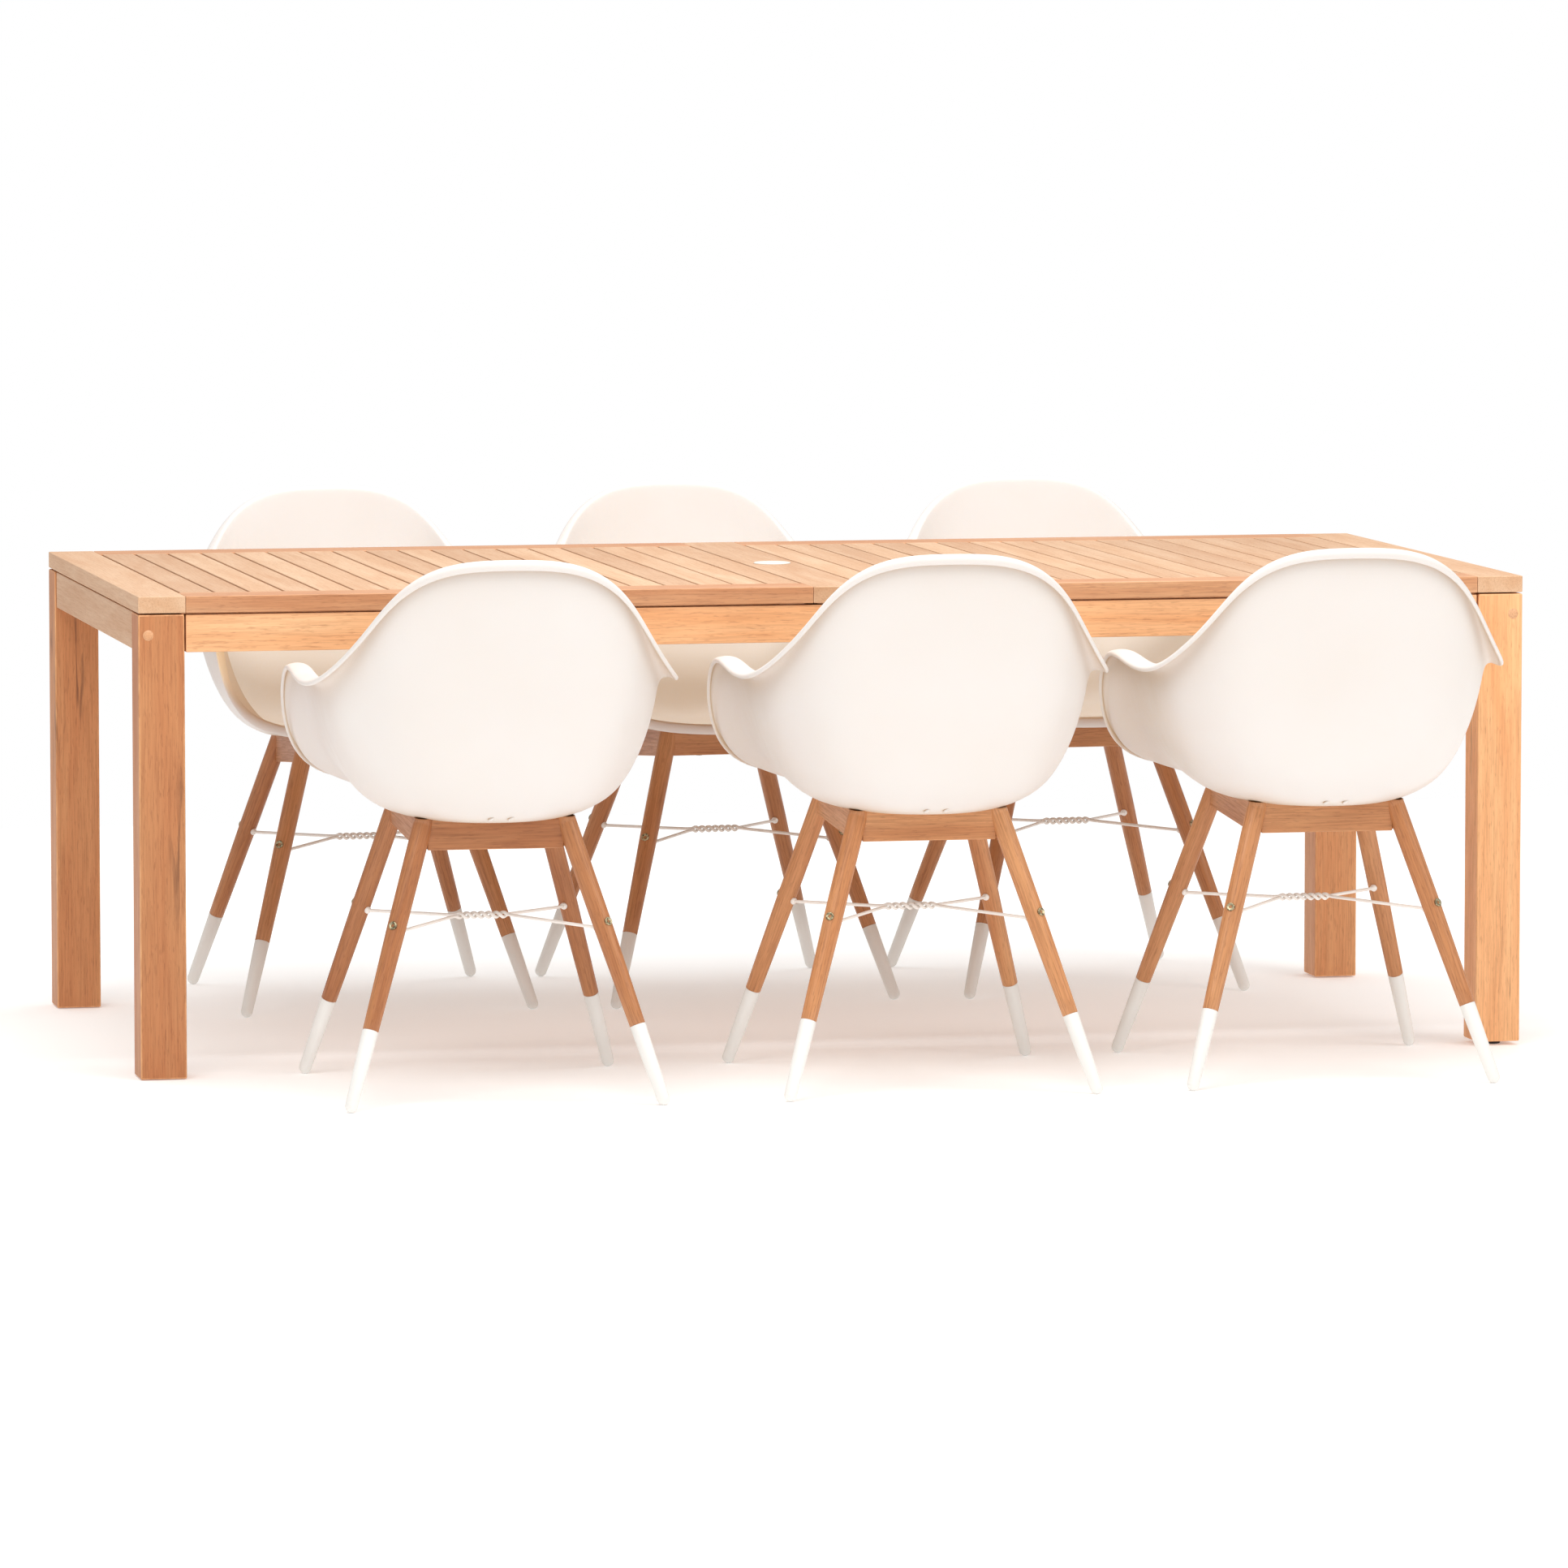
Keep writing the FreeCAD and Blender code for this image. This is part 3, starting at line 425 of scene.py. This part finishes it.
def lathe(solid, start, end, profile, segments=32, dice=None, trim=None, tone=0.0):
    """A turned shape: profile holds (distance from start, radius) pairs, and may close on the axis.
    trim moves each point along the axis, for an end cut at a slant."""
    start, end = np.array(start, dtype=float), np.array(end, dtype=float)
    axis = (end - start) / np.linalg.norm(end - start)
    side = np.cross(axis, (0, 0, 1) if abs(axis[2]) < 0.9 else (0, 1, 0))
    side /= np.linalg.norm(side)
    other = np.cross(axis, side)
    turns = [2 * math.pi * k / segments for k in range(segments)]
    offset = np.array([dice.uniform(0, 5e3) for _ in range(3)]) if dice else np.zeros(3)
    points, grain, faces = [], [], []
    for distance, radius in profile:
        for turn in turns:
            across = side * math.cos(turn) * radius + other * math.sin(turn) * radius
            point = start + axis * distance + across
            points.append(trim(point, axis) if trim else point)
            grain.append(offset + (distance, math.cos(turn) * radius, math.sin(turn) * radius))
    for ring in range(len(profile) - 1):
        for k in range(segments):
            a, b = ring * segments + k, ring * segments + (k + 1) % segments
            faces.append([a, b, b + segments, a + segments])
    faces.append(list(range(segments))[::-1])
    last = (len(profile) - 1) * segments
    faces.append([last + k for k in range(segments)])
    solid.add([p.tolist() for p in points], faces, None, [g.tolist() for g in grain], tone)


def tube(solid, line, radius, segments=12):
    """A round wire along a line of points."""
    line = np.array(line, dtype=float)
    ahead = np.gradient(line, axis=0)
    ahead /= np.linalg.norm(ahead, axis=1)[:, None]
    side = np.cross(ahead[0], (0, 0, 1))
    side /= np.linalg.norm(side)
    points, faces = [], []
    for place, direction in zip(line, ahead):
        side = side - direction * side.dot(direction)
        side /= np.linalg.norm(side)
        other = np.cross(direction, side)
        for k in range(segments):
            turn = 2 * math.pi * k / segments
            points.append((place + radius * (side * math.cos(turn) + other * math.sin(turn))).tolist())
    for ring in range(len(line) - 1):
        for k in range(segments):
            a, b = ring * segments + k, ring * segments + (k + 1) % segments
            faces.append([a, b, b + segments, a + segments])
    faces.append(list(range(segments))[::-1])
    faces.append([(len(line) - 1) * segments + k for k in range(segments)])
    solid.add(points, faces)


# ---------------------------------------------------------------- table

def span(a, b):
    """Two values, the lower one first."""
    return min(a, b), max(a, b)


def build_table(materials):
    dice = random.Random(11)
    half_length, half_width = TABLE_LENGTH / 2, TABLE_WIDTH / 2
    under, top = TABLE_HEIGHT - TOP, TABLE_HEIGHT

    def one(name, node, slot, x, y, z, along, rounding=EDGE_ROUNDING, tone=None, shape=None):
        """A board that is a piece by itself, x, y and z being its spans about the table's middle."""
        solid = Solid()
        board(solid, (x[0], y[0] + TABLE_Y, z[0]), (x[1], y[1] + TABLE_Y, z[1]), along, rounding, dice,
              tone, shape)
        return solid.piece(name, "table", [node], slot, materials)

    slats = Solid()
    room = half_length - END_BOARD - CENTRE_BOARD / 2
    width = (room - SLAT_GAP * (SLATS_PER_HALF + 1)) / SLATS_PER_HALF
    for name, side in SIDES:
        for index in range(SLATS_PER_HALF):
            near = CENTRE_BOARD / 2 + SLAT_GAP + index * (width + SLAT_GAP)
            x = span(side * near, side * (near + width))
            reach = half_width - LONG_RAIL - SLAT_END_GAP
            face = top - dice.uniform(0, 0.0003)
            board(slats, (x[0], TABLE_Y - reach, under), (x[1], TABLE_Y + reach, face), "Y",
                  SLAT_ROUNDING, dice)
        x = span(side * half_length, side * (half_length - END_BOARD))
        one("end_board_" + name, "top_end_board_" + name, "top_wood", x, (-half_width, half_width),
            (under, top), "Y")
    slats.piece("table_slats", "table", ["top_slats"], "top_wood", materials)
    one("centre_board", "top_centre_board", "top_wood", (-CENTRE_BOARD / 2, CENTRE_BOARD / 2),
        (-half_width, half_width), (under, top), "Y")

    for end_name, end in ENDS:
        y = span(end * (half_width - APRON_SETBACK), end * (half_width - APRON_SETBACK - APRON_THICKNESS))
        reach = half_length - LEG - APRON_END_GAP
        z = (under - APRON_DROP - APRON_HEIGHT, under - APRON_DROP)
        one("long_apron_" + end_name, "apron_" + end_name, "apron_wood", (-reach, reach), y, z, "X")
        for side_name, side in SIDES:
            corner = end_name + "_" + side_name
            x = span(side * (CENTRE_BOARD / 2 + RAIL_GAP), side * (half_length - END_BOARD - RAIL_GAP))
            y = span(end * half_width, end * (half_width - LONG_RAIL))
            one("long_rail_" + corner, "top_rail_" + corner, "rail_wood", x, y, (under, top), "X",
                tone=RAIL_TONE[corner])
            x = span(side * half_length, side * (half_length - LEG))
            y = span(end * half_width, end * (half_width - LEG))
            one("leg_" + corner, "table_leg_" + corner, "table_leg_wood", x, y,
                (FOOT_OUT[corner], under - LEG_DROP), "Z", LEG_ROUNDING, LEG_TONE_AND_PAINTED_LIGHT[corner], foot_recess)
    for side_name, side in SIDES:
        x = span(side * (half_length - APRON_SETBACK), side * (half_length - APRON_SETBACK - APRON_THICKNESS))
        reach = half_width - LEG - END_APRON_GAP
        z = (under - APRON_DROP - APRON_HEIGHT, under - APRON_DROP)
        one("end_apron_" + side_name, "apron_" + side_name, "top_wood", x, (-reach, reach), z, "Y", tone=0.5)

    battens = Solid()
    inner_y = half_width - APRON_SETBACK - APRON_THICKNESS
    for name, side in SIDES:
        x = span(side * CENTRE_BATTEN[0], side * CENTRE_BATTEN[1])
        board(battens, (x[0], TABLE_Y - inner_y, under - CENTRE_BATTEN_DEPTH),
              (x[1], TABLE_Y + inner_y, under), "Y", EDGE_ROUNDING, dice)
        x = span(side * CENTRE_BATTEN[1], side * (half_length - APRON_SETBACK - APRON_THICKNESS))
        for place in (-1, 0, 1):
            y = TABLE_Y + place * LONG_BATTEN_SPACING
            board(battens, (x[0], y - LONG_BATTEN_WIDTH / 2, under - LONG_BATTEN_DEPTH),
                  (x[1], y + LONG_BATTEN_WIDTH / 2, under), "X", EDGE_ROUNDING, dice)
    battens.piece("under_battens", "table", ["under_top_battens"], "batten_wood", materials)

    plugs = Solid()
    for name, end in ENDS:
        for side in (-1, 1):
            x = side * (half_length - APRON_SETBACK - APRON_THICKNESS / 2)
            face = TABLE_Y + end * half_width
            start, out = (x, face - end * 0.004, PLUG_HEIGHT), (x, face + end * 0.004, PLUG_HEIGHT)
            lathe(plugs, start, out, [(0, 0.0083), (0.0038, 0.0084), (0.0043, 0.0080)], 28, dice)
    plugs.piece("leg_plugs", "table", ["leg_bolt_plugs"], "plug_wood", materials)

    cap = Solid()
    profile = [(-0.018, 0.0225), (-0.0008, 0.0245), (-0.0002, 0.0296), (0.0006, 0.0300), (0.0016, 0.0296),
               (0.0022, 0.0285), (0.0025, 0.0270), (0.0021, 0.0255), (0.0021, 0.0001)]
    lathe(cap, (0, TABLE_Y, top), (0, TABLE_Y, top + 1), profile, 48)
    cap.piece("parasol_cap", "parasol_cap", ["parasol_hole_cap"], "cap_plastic", materials)

    for corner in FOOT_OUT:
        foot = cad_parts["levelling_foot_" + corner]
        foot.data.materials.clear()
        foot.data.materials.append(materials["foot_black"])
    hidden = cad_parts["table_bolts_and_inserts"]
    hidden.data.materials.clear()
    hidden.data.materials.append(materials["bolt_steel"])


# ---------------------------------------------------------------- chair

def seat_plane(y):
    """Height of the seat's underside, which slopes up towards the front."""
    return SEAT_Z + SEAT_SLOPE * y


def leg_axis(side, front, height):
    """The point of a leg's axis at that height."""
    lean_x, lean_y = FRONT_LEAN if front > 0 else REAR_LEAN
    return np.array([side * (FOOT_X - lean_x * height), front * (FOOT_Y - lean_y * height), height])


def leg_radius(height):
    heights = (LEG_END_HEIGHT, LEG_MIDDLE_HEIGHT, SEAT_Z + LEG_OVERRUN)
    return float(np.interp(height, heights, (LEG_END_RADIUS, LEG_MIDDLE_RADIUS, LEG_TOP_RADIUS)))


def to_seat(point, axis):
    """Brings a point that lies above the seat plane back along the leg onto it."""
    over = point[2] - seat_plane(point[1]) - SUNK_IN_SHELL
    if over <= 0:
        return point
    return point - axis * over / (axis[2] - SEAT_SLOPE * axis[1])


def bolt_line(side, front):
    """Where a brace wire's bolt crosses the leg, and its direction square to the leg."""
    centre = leg_axis(side, front, BRACE_HEIGHT)
    upwards = leg_axis(side, front, SEAT_Z) - centre
    upwards /= np.linalg.norm(upwards)
    inward = np.array([side * TWIST_LENGTH / 2, 0, BRACE_HEIGHT]) - centre
    square = inward - upwards * inward.dot(upwards)
    return centre, square / np.linalg.norm(square)


def chair_legs(dice, tone):
    """The four tapered wooden legs and their white tips."""
    legs, ends = Solid(), Solid()
    for side, front in CORNERS:
        low, high = leg_axis(side, front, LEG_END_HEIGHT), leg_axis(side, front, SEAT_Z + LEG_OVERRUN)
        length = np.linalg.norm(high - low)
        profile = [(0.0, LEG_END_RADIUS - 0.7), (0.7, LEG_END_RADIUS)]
        for step in range(1, 15):
            height = LEG_END_HEIGHT + (SEAT_Z + LEG_OVERRUN - LEG_END_HEIGHT) * step / 14
            profile.append((length * step / 14, leg_radius(height)))
        lathe(legs, low, high, profile, 40, dice, to_seat, tone + dice.uniform(-0.2, 0.2))
        tip = leg_axis(side, front, LEG_TIP_RADIUS)
        length = np.linalg.norm(low - tip)
        profile = [(-LEG_TIP_RADIUS * math.cos(a), LEG_TIP_RADIUS * math.sin(a))
                   for a in [math.pi / 2 * k / 8 for k in range(1, 8)]]
        profile += [(0, LEG_TIP_RADIUS), (length * 0.5, (LEG_TIP_RADIUS + LEG_END_RADIUS) / 2),
                    (length - 0.8, LEG_END_RADIUS), (length - 0.1, LEG_END_RADIUS - 0.6)]
        lathe(ends, tip, low, profile, 36)
    return legs, ends


def chair_rails(dice, tone):
    """The four rails under the seat, between the legs' tops."""
    rails = Solid()
    corners = {(side, front): leg_axis(side, front, SEAT_Z - RAIL_HEIGHT / 2)
               - (side * RAIL_INSET, front * RAIL_INSET, 0) for side, front in CORNERS}
    pairs = [((-1, -1), (1, -1)), ((-1, 1), (1, 1)), ((-1, -1), (-1, 1)), ((1, -1), (1, 1))]
    for first, second in pairs:
        start, end = corners[first][:2], corners[second][:2]
        along = end - start
        length = np.linalg.norm(along)
        along = along / length
        across = np.array([-along[1], along[0]])
        size = (length - 2 * RAIL_END_TRIM, RAIL_THICKNESS, RAIL_HEIGHT + SUNK_IN_SHELL)
        points, quads, normals, arris = rounded_box(size, RAIL_ROUNDING)
        offset = np.array([dice.uniform(0, 5e3) for _ in range(3)])
        grain = (points + offset).tolist()
        placed, turned = [], []
        for point, normal in zip(points, normals):
            xy = (start + end) / 2 + along * point[0] + across * point[1]
            placed.append([xy[0], xy[1], seat_plane(xy[1]) + (SUNK_IN_SHELL - RAIL_HEIGHT) / 2 + point[2]])
            flat = along * normal[0] + across * normal[1]
            turned.append([flat[0], flat[1], normal[2]])
        rails.add(placed, quads, turned, grain, tone + dice.uniform(-0.2, 0.2), arris)
    return rails


def wire_line(side):
    """One brace wire: leg, twist round the other wire, leg diagonally opposite."""
    rail = []
    for corner in ((side, 1), (-side, -1)):
        centre, inward = bolt_line(*corner)
        rail.append(centre + inward * (leg_radius(BRACE_HEIGHT) + FERRULE_LENGTH / 2))
    turn_start = 0.0 if side < 0 else math.pi
    helix = []
    for step in range(TWIST_STEPS + 1):
        share = step / TWIST_STEPS
        x = -TWIST_LENGTH / 2 + TWIST_LENGTH * share
        angle = turn_start + 2 * math.pi * TWIST_TURNS * share
        y = TWIST_RADIUS * math.cos(angle)
        z = TWIST_HEIGHT + TWIST_RADIUS * math.sin(angle)
        helix.append(np.array([x, y, z]))
    left, right = (rail[0], rail[1]) if side < 0 else (rail[1], rail[0])
    start = [left + (helix[0] - left) * k / STRAIGHT_STEPS for k in range(STRAIGHT_STEPS)]
    finish = [helix[-1] + (right - helix[-1]) * k / STRAIGHT_STEPS for k in range(1, STRAIGHT_STEPS + 1)]
    line = np.array(start + helix + finish)
    first, last = SMOOTHED_STEPS
    for _ in range(SMOOTHING_PASSES):
        smooth = line.copy()
        smooth[1:-1] = (line[:-2] + 2 * line[1:-1] + line[2:]) / 4
        near = np.zeros(len(line))
        near[first:last] = 1
        near[-last:-first] = 1
        line = line + (smooth - line) * near[:, None]
    return line


def chair_wires():
    """The two brace wires, twisted together in the middle, and their ferrules at the legs."""
    wires = Solid()
    for side in (-1, 1):
        tube(wires, wire_line(side), WIRE_RADIUS - 0.05)
    for corner in CORNERS:
        centre, inward = bolt_line(*corner)
        face = centre + inward * (leg_radius(BRACE_HEIGHT) - 1.0)
        profile = [(0, 4.4), (1.2, FERRULE_RADIUS), (3.6, FERRULE_RADIUS), (5.0, 4.6), (5.8, 2.6), (6.0, 0.2)]
        lathe(wires, face, face + inward, profile, 20)
    return wires


def chair_bolts():
    """The heads of the brace bolts outside the legs and of the seat screws under the rails."""
    bolts = Solid()
    for corner in CORNERS:
        centre, inward = bolt_line(*corner)
        face = centre - inward * leg_radius(BRACE_HEIGHT)
        profile = [(-2.0, 6.5), (0.9, 6.6), (1.6, 6.2), (2.0, 5.2), (1.7, 4.6), (1.5, 3.2), (1.4, 2.7),
                   (-1.0, 2.6), (-1.0, 0.1)]
        lathe(bolts, face, face - inward, profile, 24)
    for side, front in CORNERS:
        y = leg_axis(side, front, SEAT_Z - RAIL_HEIGHT / 2)[1] - front * RAIL_INSET
        face = np.array([side * SEAT_SCREW_X, y, seat_plane(y) - RAIL_HEIGHT])
        profile = [(-2.0, 5.4), (0.1, 5.4), (0.25, 5.0), (0.1, 3.0), (-0.9, 2.4), (-1.0, 0.1)]
        lathe(bolts, face, face - np.array([0, 0, 1.0]), profile, 20)
    return bolts


# ---------------------------------------------------------------- shell

def superellipse(turn, power):
    """Across and rise, 0 to 1, of a quarter of a superellipse."""
    angle = turn * math.pi / 2
    return math.sin(angle) ** (2 / power), 1 - math.cos(angle) ** (2 / power)


def offset_section(points, distance):
    """The line of points moved sideways by the distance."""
    moved = []
    last = len(points) - 1
    for index, point in enumerate(points):
        before, after = points[max(index - 1, 0)], points[min(index + 1, last)]
        run, rise = after[0] - before[0], after[1] - before[1]
        length = math.hypot(run, rise)
        moved.append((point[0] + distance * rise / length, point[1] - distance * run / length))
    return moved


def shell_section(x, y, z, width, lip):
    """Control points of the shell's wall along one direction: inside, over the flange, back outside."""
    reach_x, reach_y = x, y - SEAT_CENTRE_Y
    reach = math.hypot(reach_x, reach_y)
    way_x, way_y = reach_x / reach, reach_y / reach
    backward = max(0.0, -way_y) ** 2
    lean = SIDE_LEAN + (BACK_LEAN - SIDE_LEAN) * backward
    power = 1.8 + 1.0 * backward
    oval = abs(way_x / FLAT_X) ** FLAT_POWER + abs(way_y / FLAT_Y) ** FLAT_POWER
    root = reach - width
    low_root = root - lean
    flat = min(oval ** (-1 / FLAT_POWER), low_root - 25)
    top = z + 0.08 * width

    def floor(radius):
        return seat_plane(SEAT_CENTRE_Y + way_y * radius) + SHELL_THICKNESS

    inside = [(flat * DISC_SHARE, floor(flat * DISC_SHARE)), (flat, floor(flat))]
    for turn in (0.25, 0.45, 0.62, 0.78, 0.9, 1.0):
        across, rise = superellipse(turn, power)
        radius = flat + (low_root - flat) * across + lean * rise
        low = floor(radius)
        inside.append((radius, low + (top - lip * 0.6 - low) * rise))
    outside = offset_section(inside, SHELL_THICKNESS)
    outside[0:2] = [(radius, height - SHELL_THICKNESS) for radius, height in inside[0:2]]
    outside[-1] = (outside[-1][0], min(outside[-1][1], top - SHELL_THICKNESS - 3))
    flange = [
        (root + 1.5, top - 1), (root + 0.4 * width, top + 1.5), (root + width - 2, z + 0.5),
        (root + width + 1, z - lip * 0.45), (root + width - 0.5, z - lip),
        (root + width - SHELL_THICKNESS + 1, z - lip), (root + width - SHELL_THICKNESS, z - SHELL_THICKNESS),
        (root + 0.5 * width + 2, top - SHELL_THICKNESS),
    ]
    section = inside + flange + outside[::-1]
    return [(way_x * r, SEAT_CENTRE_Y + way_y * r, height) for r, height in section]


def clamped_basis(count, samples):
    """Cubic B-spline weights of count control points at each sample of the parameter, ends clamped."""
    knots = np.array([0.0] * 3 + list(range(count - 2)) + [count - 3.0] * 3)
    at = np.array(samples)[:, None]
    basis = ((at >= knots[:-1]) & (at < knots[1:])).astype(float)
    basis[at[:, 0] >= knots[-1], count - 1] = 1.0
    for degree in range(1, 4):
        lower = knots[:-degree - 1]
        rise = at - lower
        width = knots[degree:-1] - lower
        first = np.divide(rise, width, out=np.zeros_like(basis[:, :-1]), where=width > 0) * basis[:, :-1]
        upper = knots[degree + 1:]
        fall = upper - at
        width = upper - knots[1:-degree]
        second = np.divide(fall, width, out=np.zeros_like(basis[:, 1:]), where=width > 0) * basis[:, 1:]
        basis = first + second
    return basis


def periodic_basis(count, samples):
    """Cubic B-spline weights for control points in a closed ring."""
    basis = np.zeros((len(samples), count))
    for row, at in enumerate(samples):
        index, t = int(at), at - int(at)
        weights = ((1 - t) ** 3 / 6, (3 * t ** 3 - 6 * t ** 2 + 4) / 6,
                   (-3 * t ** 3 + 3 * t ** 2 + 3 * t + 1) / 6, t ** 3 / 6)
        for step, weight in enumerate(weights):
            basis[row, (index + step - 1) % count] += weight
    return basis


def chair_shell(around_steps=6, along_steps=5):
    """One moulded shell: sections round the seat joined by a closed spline surface, plus two lugs."""
    mirrored = [(-x, y, z, width, lip) for x, y, z, width, lip in EDGE[-2:0:-1]]
    net = np.array([shell_section(*station) for station in list(EDGE) + mirrored])
    columns, rows = net.shape[:2]
    around = [k / around_steps for k in range(columns * around_steps)]
    along = [k / along_steps for k in range((rows - 3) * along_steps + 1)]
    grid = np.einsum("ac,bd,cdk->abk", periodic_basis(columns, around), clamped_basis(rows, along), net)
    count_a, count_b = grid.shape[:2]
    points = grid.reshape(-1, 3).tolist()
    faces = []
    for a in range(count_a):
        for b in range(count_b - 1):
            c = (a + 1) % count_a
            faces.append([a * count_b + b, c * count_b + b, c * count_b + b + 1, a * count_b + b + 1])
    for b, flip in ((0, True), (count_b - 1, False)):
        ring = [a * count_b + b for a in range(count_a)]
        centre = len(points)
        points.append(np.mean([points[i] for i in ring], axis=0).tolist())
        for k in range(count_a):
            face = [ring[k], ring[(k + 1) % count_a], centre]
            faces.append(face[::-1] if flip else face)
    shell = Solid()
    shell.add(points, faces)
    outer = grid[:, count_b // 2:].reshape(-1, 3)
    for x in LUGS_X:
        centre = outer[np.argmin(np.linalg.norm(outer - (x, LUG_Y, LUG_Z), axis=1))]
        lug(shell, centre, x)
    return shell


def lug(solid, centre, x):
    """A small slanted oval lug left by the mould."""
    slant = math.radians(LUG_SLANT)
    points, faces, around = [], [], 14
    for ring in range(1, 7):
        low = math.pi * ring / 7
        for k in range(around):
            turn = 2 * math.pi * k / around
            long, thin = LUG_LENGTH * math.sin(low) * math.cos(turn), LUG_RISE * math.cos(low)
            points.append([x + long * math.cos(slant) - thin * math.sin(slant),
                           centre[1] + LUG_WIDTH * math.sin(low) * math.sin(turn),
                           centre[2] + long * math.sin(slant) + thin * math.cos(slant)])
    for ring in range(5):
        for k in range(around):
            a, b = ring * around + k, ring * around + (k + 1) % around
            faces.append([a, b, b + around, a + around])
    faces.append(list(range(around))[::-1])
    faces.append([5 * around + k for k in range(around)])
    solid.add(points, faces)


def place_chair(solid, x, y, turn):
    """A copy of the solid where that chair stands, still in millimetres."""
    angle = math.radians(turn)
    cosine, sine = math.cos(angle), math.sin(angle)
    rotate = np.array([[cosine, -sine, 0], [sine, cosine, 0], [0, 0, 1]])
    placed = Solid()
    placed.points = (np.array(solid.points) @ rotate.T + (x, y + TABLE_Y * 1000, 0)).tolist()
    placed.normals = (np.array(solid.normals) @ rotate.T).tolist()
    placed.faces, placed.grain = solid.faces, solid.grain
    placed.tone, placed.arris = solid.tone, solid.arris
    return placed


def build_chairs(materials):
    shell = chair_shell()
    wires = chair_wires()
    bolts = chair_bolts()
    for number, (place, where) in enumerate(CHAIRS.items()):
        dice = random.Random(100 + number)
        legs, ends = chair_legs(dice, CHAIR_TONE[place])
        rails = chair_rails(dice, CHAIR_TONE[place])
        parts = {
            "shell": (shell, "shell", "shell_plastic"),
            "rails": (rails, "seat_rails", "chair_wood"),
            "wood_legs": (legs, "legs", "chair_wood"),
            "white_ends": (ends, "leg_ends", "leg_end_white"),
            "twisted_wires": (wires, "brace_wires", "wire_coating"),
            "bolt_heads": (bolts, "bolts", "bolt_steel"),
        }
        body = "chair_" + place
        for part, (solid, node, slot) in parts.items():
            placed = place_chair(solid, *where)
            placed.piece(part + "_" + place, body, [body + "_" + node], slot, materials, 0.001)


# ---------------------------------------------------------------- stage

def build_floor():
    mesh = bpy.data.meshes.new("floor")
    corners = [(-FLOOR_SIZE, -FLOOR_SIZE, 0), (FLOOR_SIZE, -FLOOR_SIZE, 0), (FLOOR_SIZE, FLOOR_BACK, 0),
               (-FLOOR_SIZE, FLOOR_BACK, 0)]
    mesh.from_pydata(corners, [], [(0, 1, 2, 3)])
    paint = Paint("floor")
    place = paint.node("ShaderNodeTexCoord").outputs["Object"]
    cloud = paint.noise(place, 0.7, 2.0)
    tint = paint.mix(cloud, colour(250, 249, 248), colour(247, 246, 245))
    mesh.materials.append(paint.finish(Base_Color=tint, Roughness=0.9, Emission_Color=tint,
                                       Emission_Strength=FLOOR_GLOW))
    floor = bpy.data.objects.new("floor", mesh)
    bpy.context.scene.collection.objects.link(floor)


def build_world():
    """Soft light from all round, and a plain white backdrop for the camera."""
    world = bpy.data.worlds.new("studio")
    bpy.context.scene.world = world
    world.use_nodes = True
    nodes, links = world.node_tree.nodes, world.node_tree.links
    sky = nodes["Background"]
    sky.inputs["Color"].default_value = SKY_TINT
    sky.inputs["Strength"].default_value = SKY_STRENGTH
    path = nodes.new("ShaderNodeLightPath")
    backdrop = nodes.new("ShaderNodeBackground")
    backdrop.inputs["Color"].default_value = (1, 1, 1, 1)
    choose = nodes.new("ShaderNodeMixShader")
    links.new(path.outputs["Is Camera Ray"], choose.inputs[0])
    links.new(sky.outputs[0], choose.inputs[1])
    links.new(backdrop.outputs[0], choose.inputs[2])
    links.new(choose.outputs[0], nodes["World Output"].inputs[0])


def softbox(name, place, target, size, power, tint):
    """A rectangular lamp facing the target."""
    light = bpy.data.lights.new(name, "AREA")
    light.shape = "RECTANGLE"
    light.size, light.size_y = size
    light.energy = power
    light.color = tint
    lamp = bpy.data.objects.new(name, light)
    lamp.location = place
    direction = np.array(target) - np.array(place)
    yaw = math.atan2(direction[1], direction[0])
    pitch = math.atan2(direction[2], math.hypot(direction[0], direction[1]))
    lamp.rotation_euler = (math.pi / 2 + pitch, 0, yaw - math.pi / 2)
    bpy.context.scene.collection.objects.link(lamp)


def build_camera():
    camera = bpy.data.cameras.new("camera")
    camera.sensor_width = CAMERA_SENSOR
    camera.lens = CAMERA_LENS
    eye = bpy.data.objects.new("camera", camera)
    eye.location = CAMERA_PLACE
    eye.rotation_euler = (math.radians(CAMERA_PITCH), 0, math.radians(CAMERA_YAW))
    bpy.context.scene.collection.objects.link(eye)
    bpy.context.scene.camera = eye


def build_stage():
    build_floor()
    build_world()
    for lamp in LAMPS:
        softbox(*lamp)
    build_camera()
    bpy.context.scene.view_settings.view_transform = "Standard"


materials = make_materials()
build_table(materials)
build_chairs(materials)
build_stage()
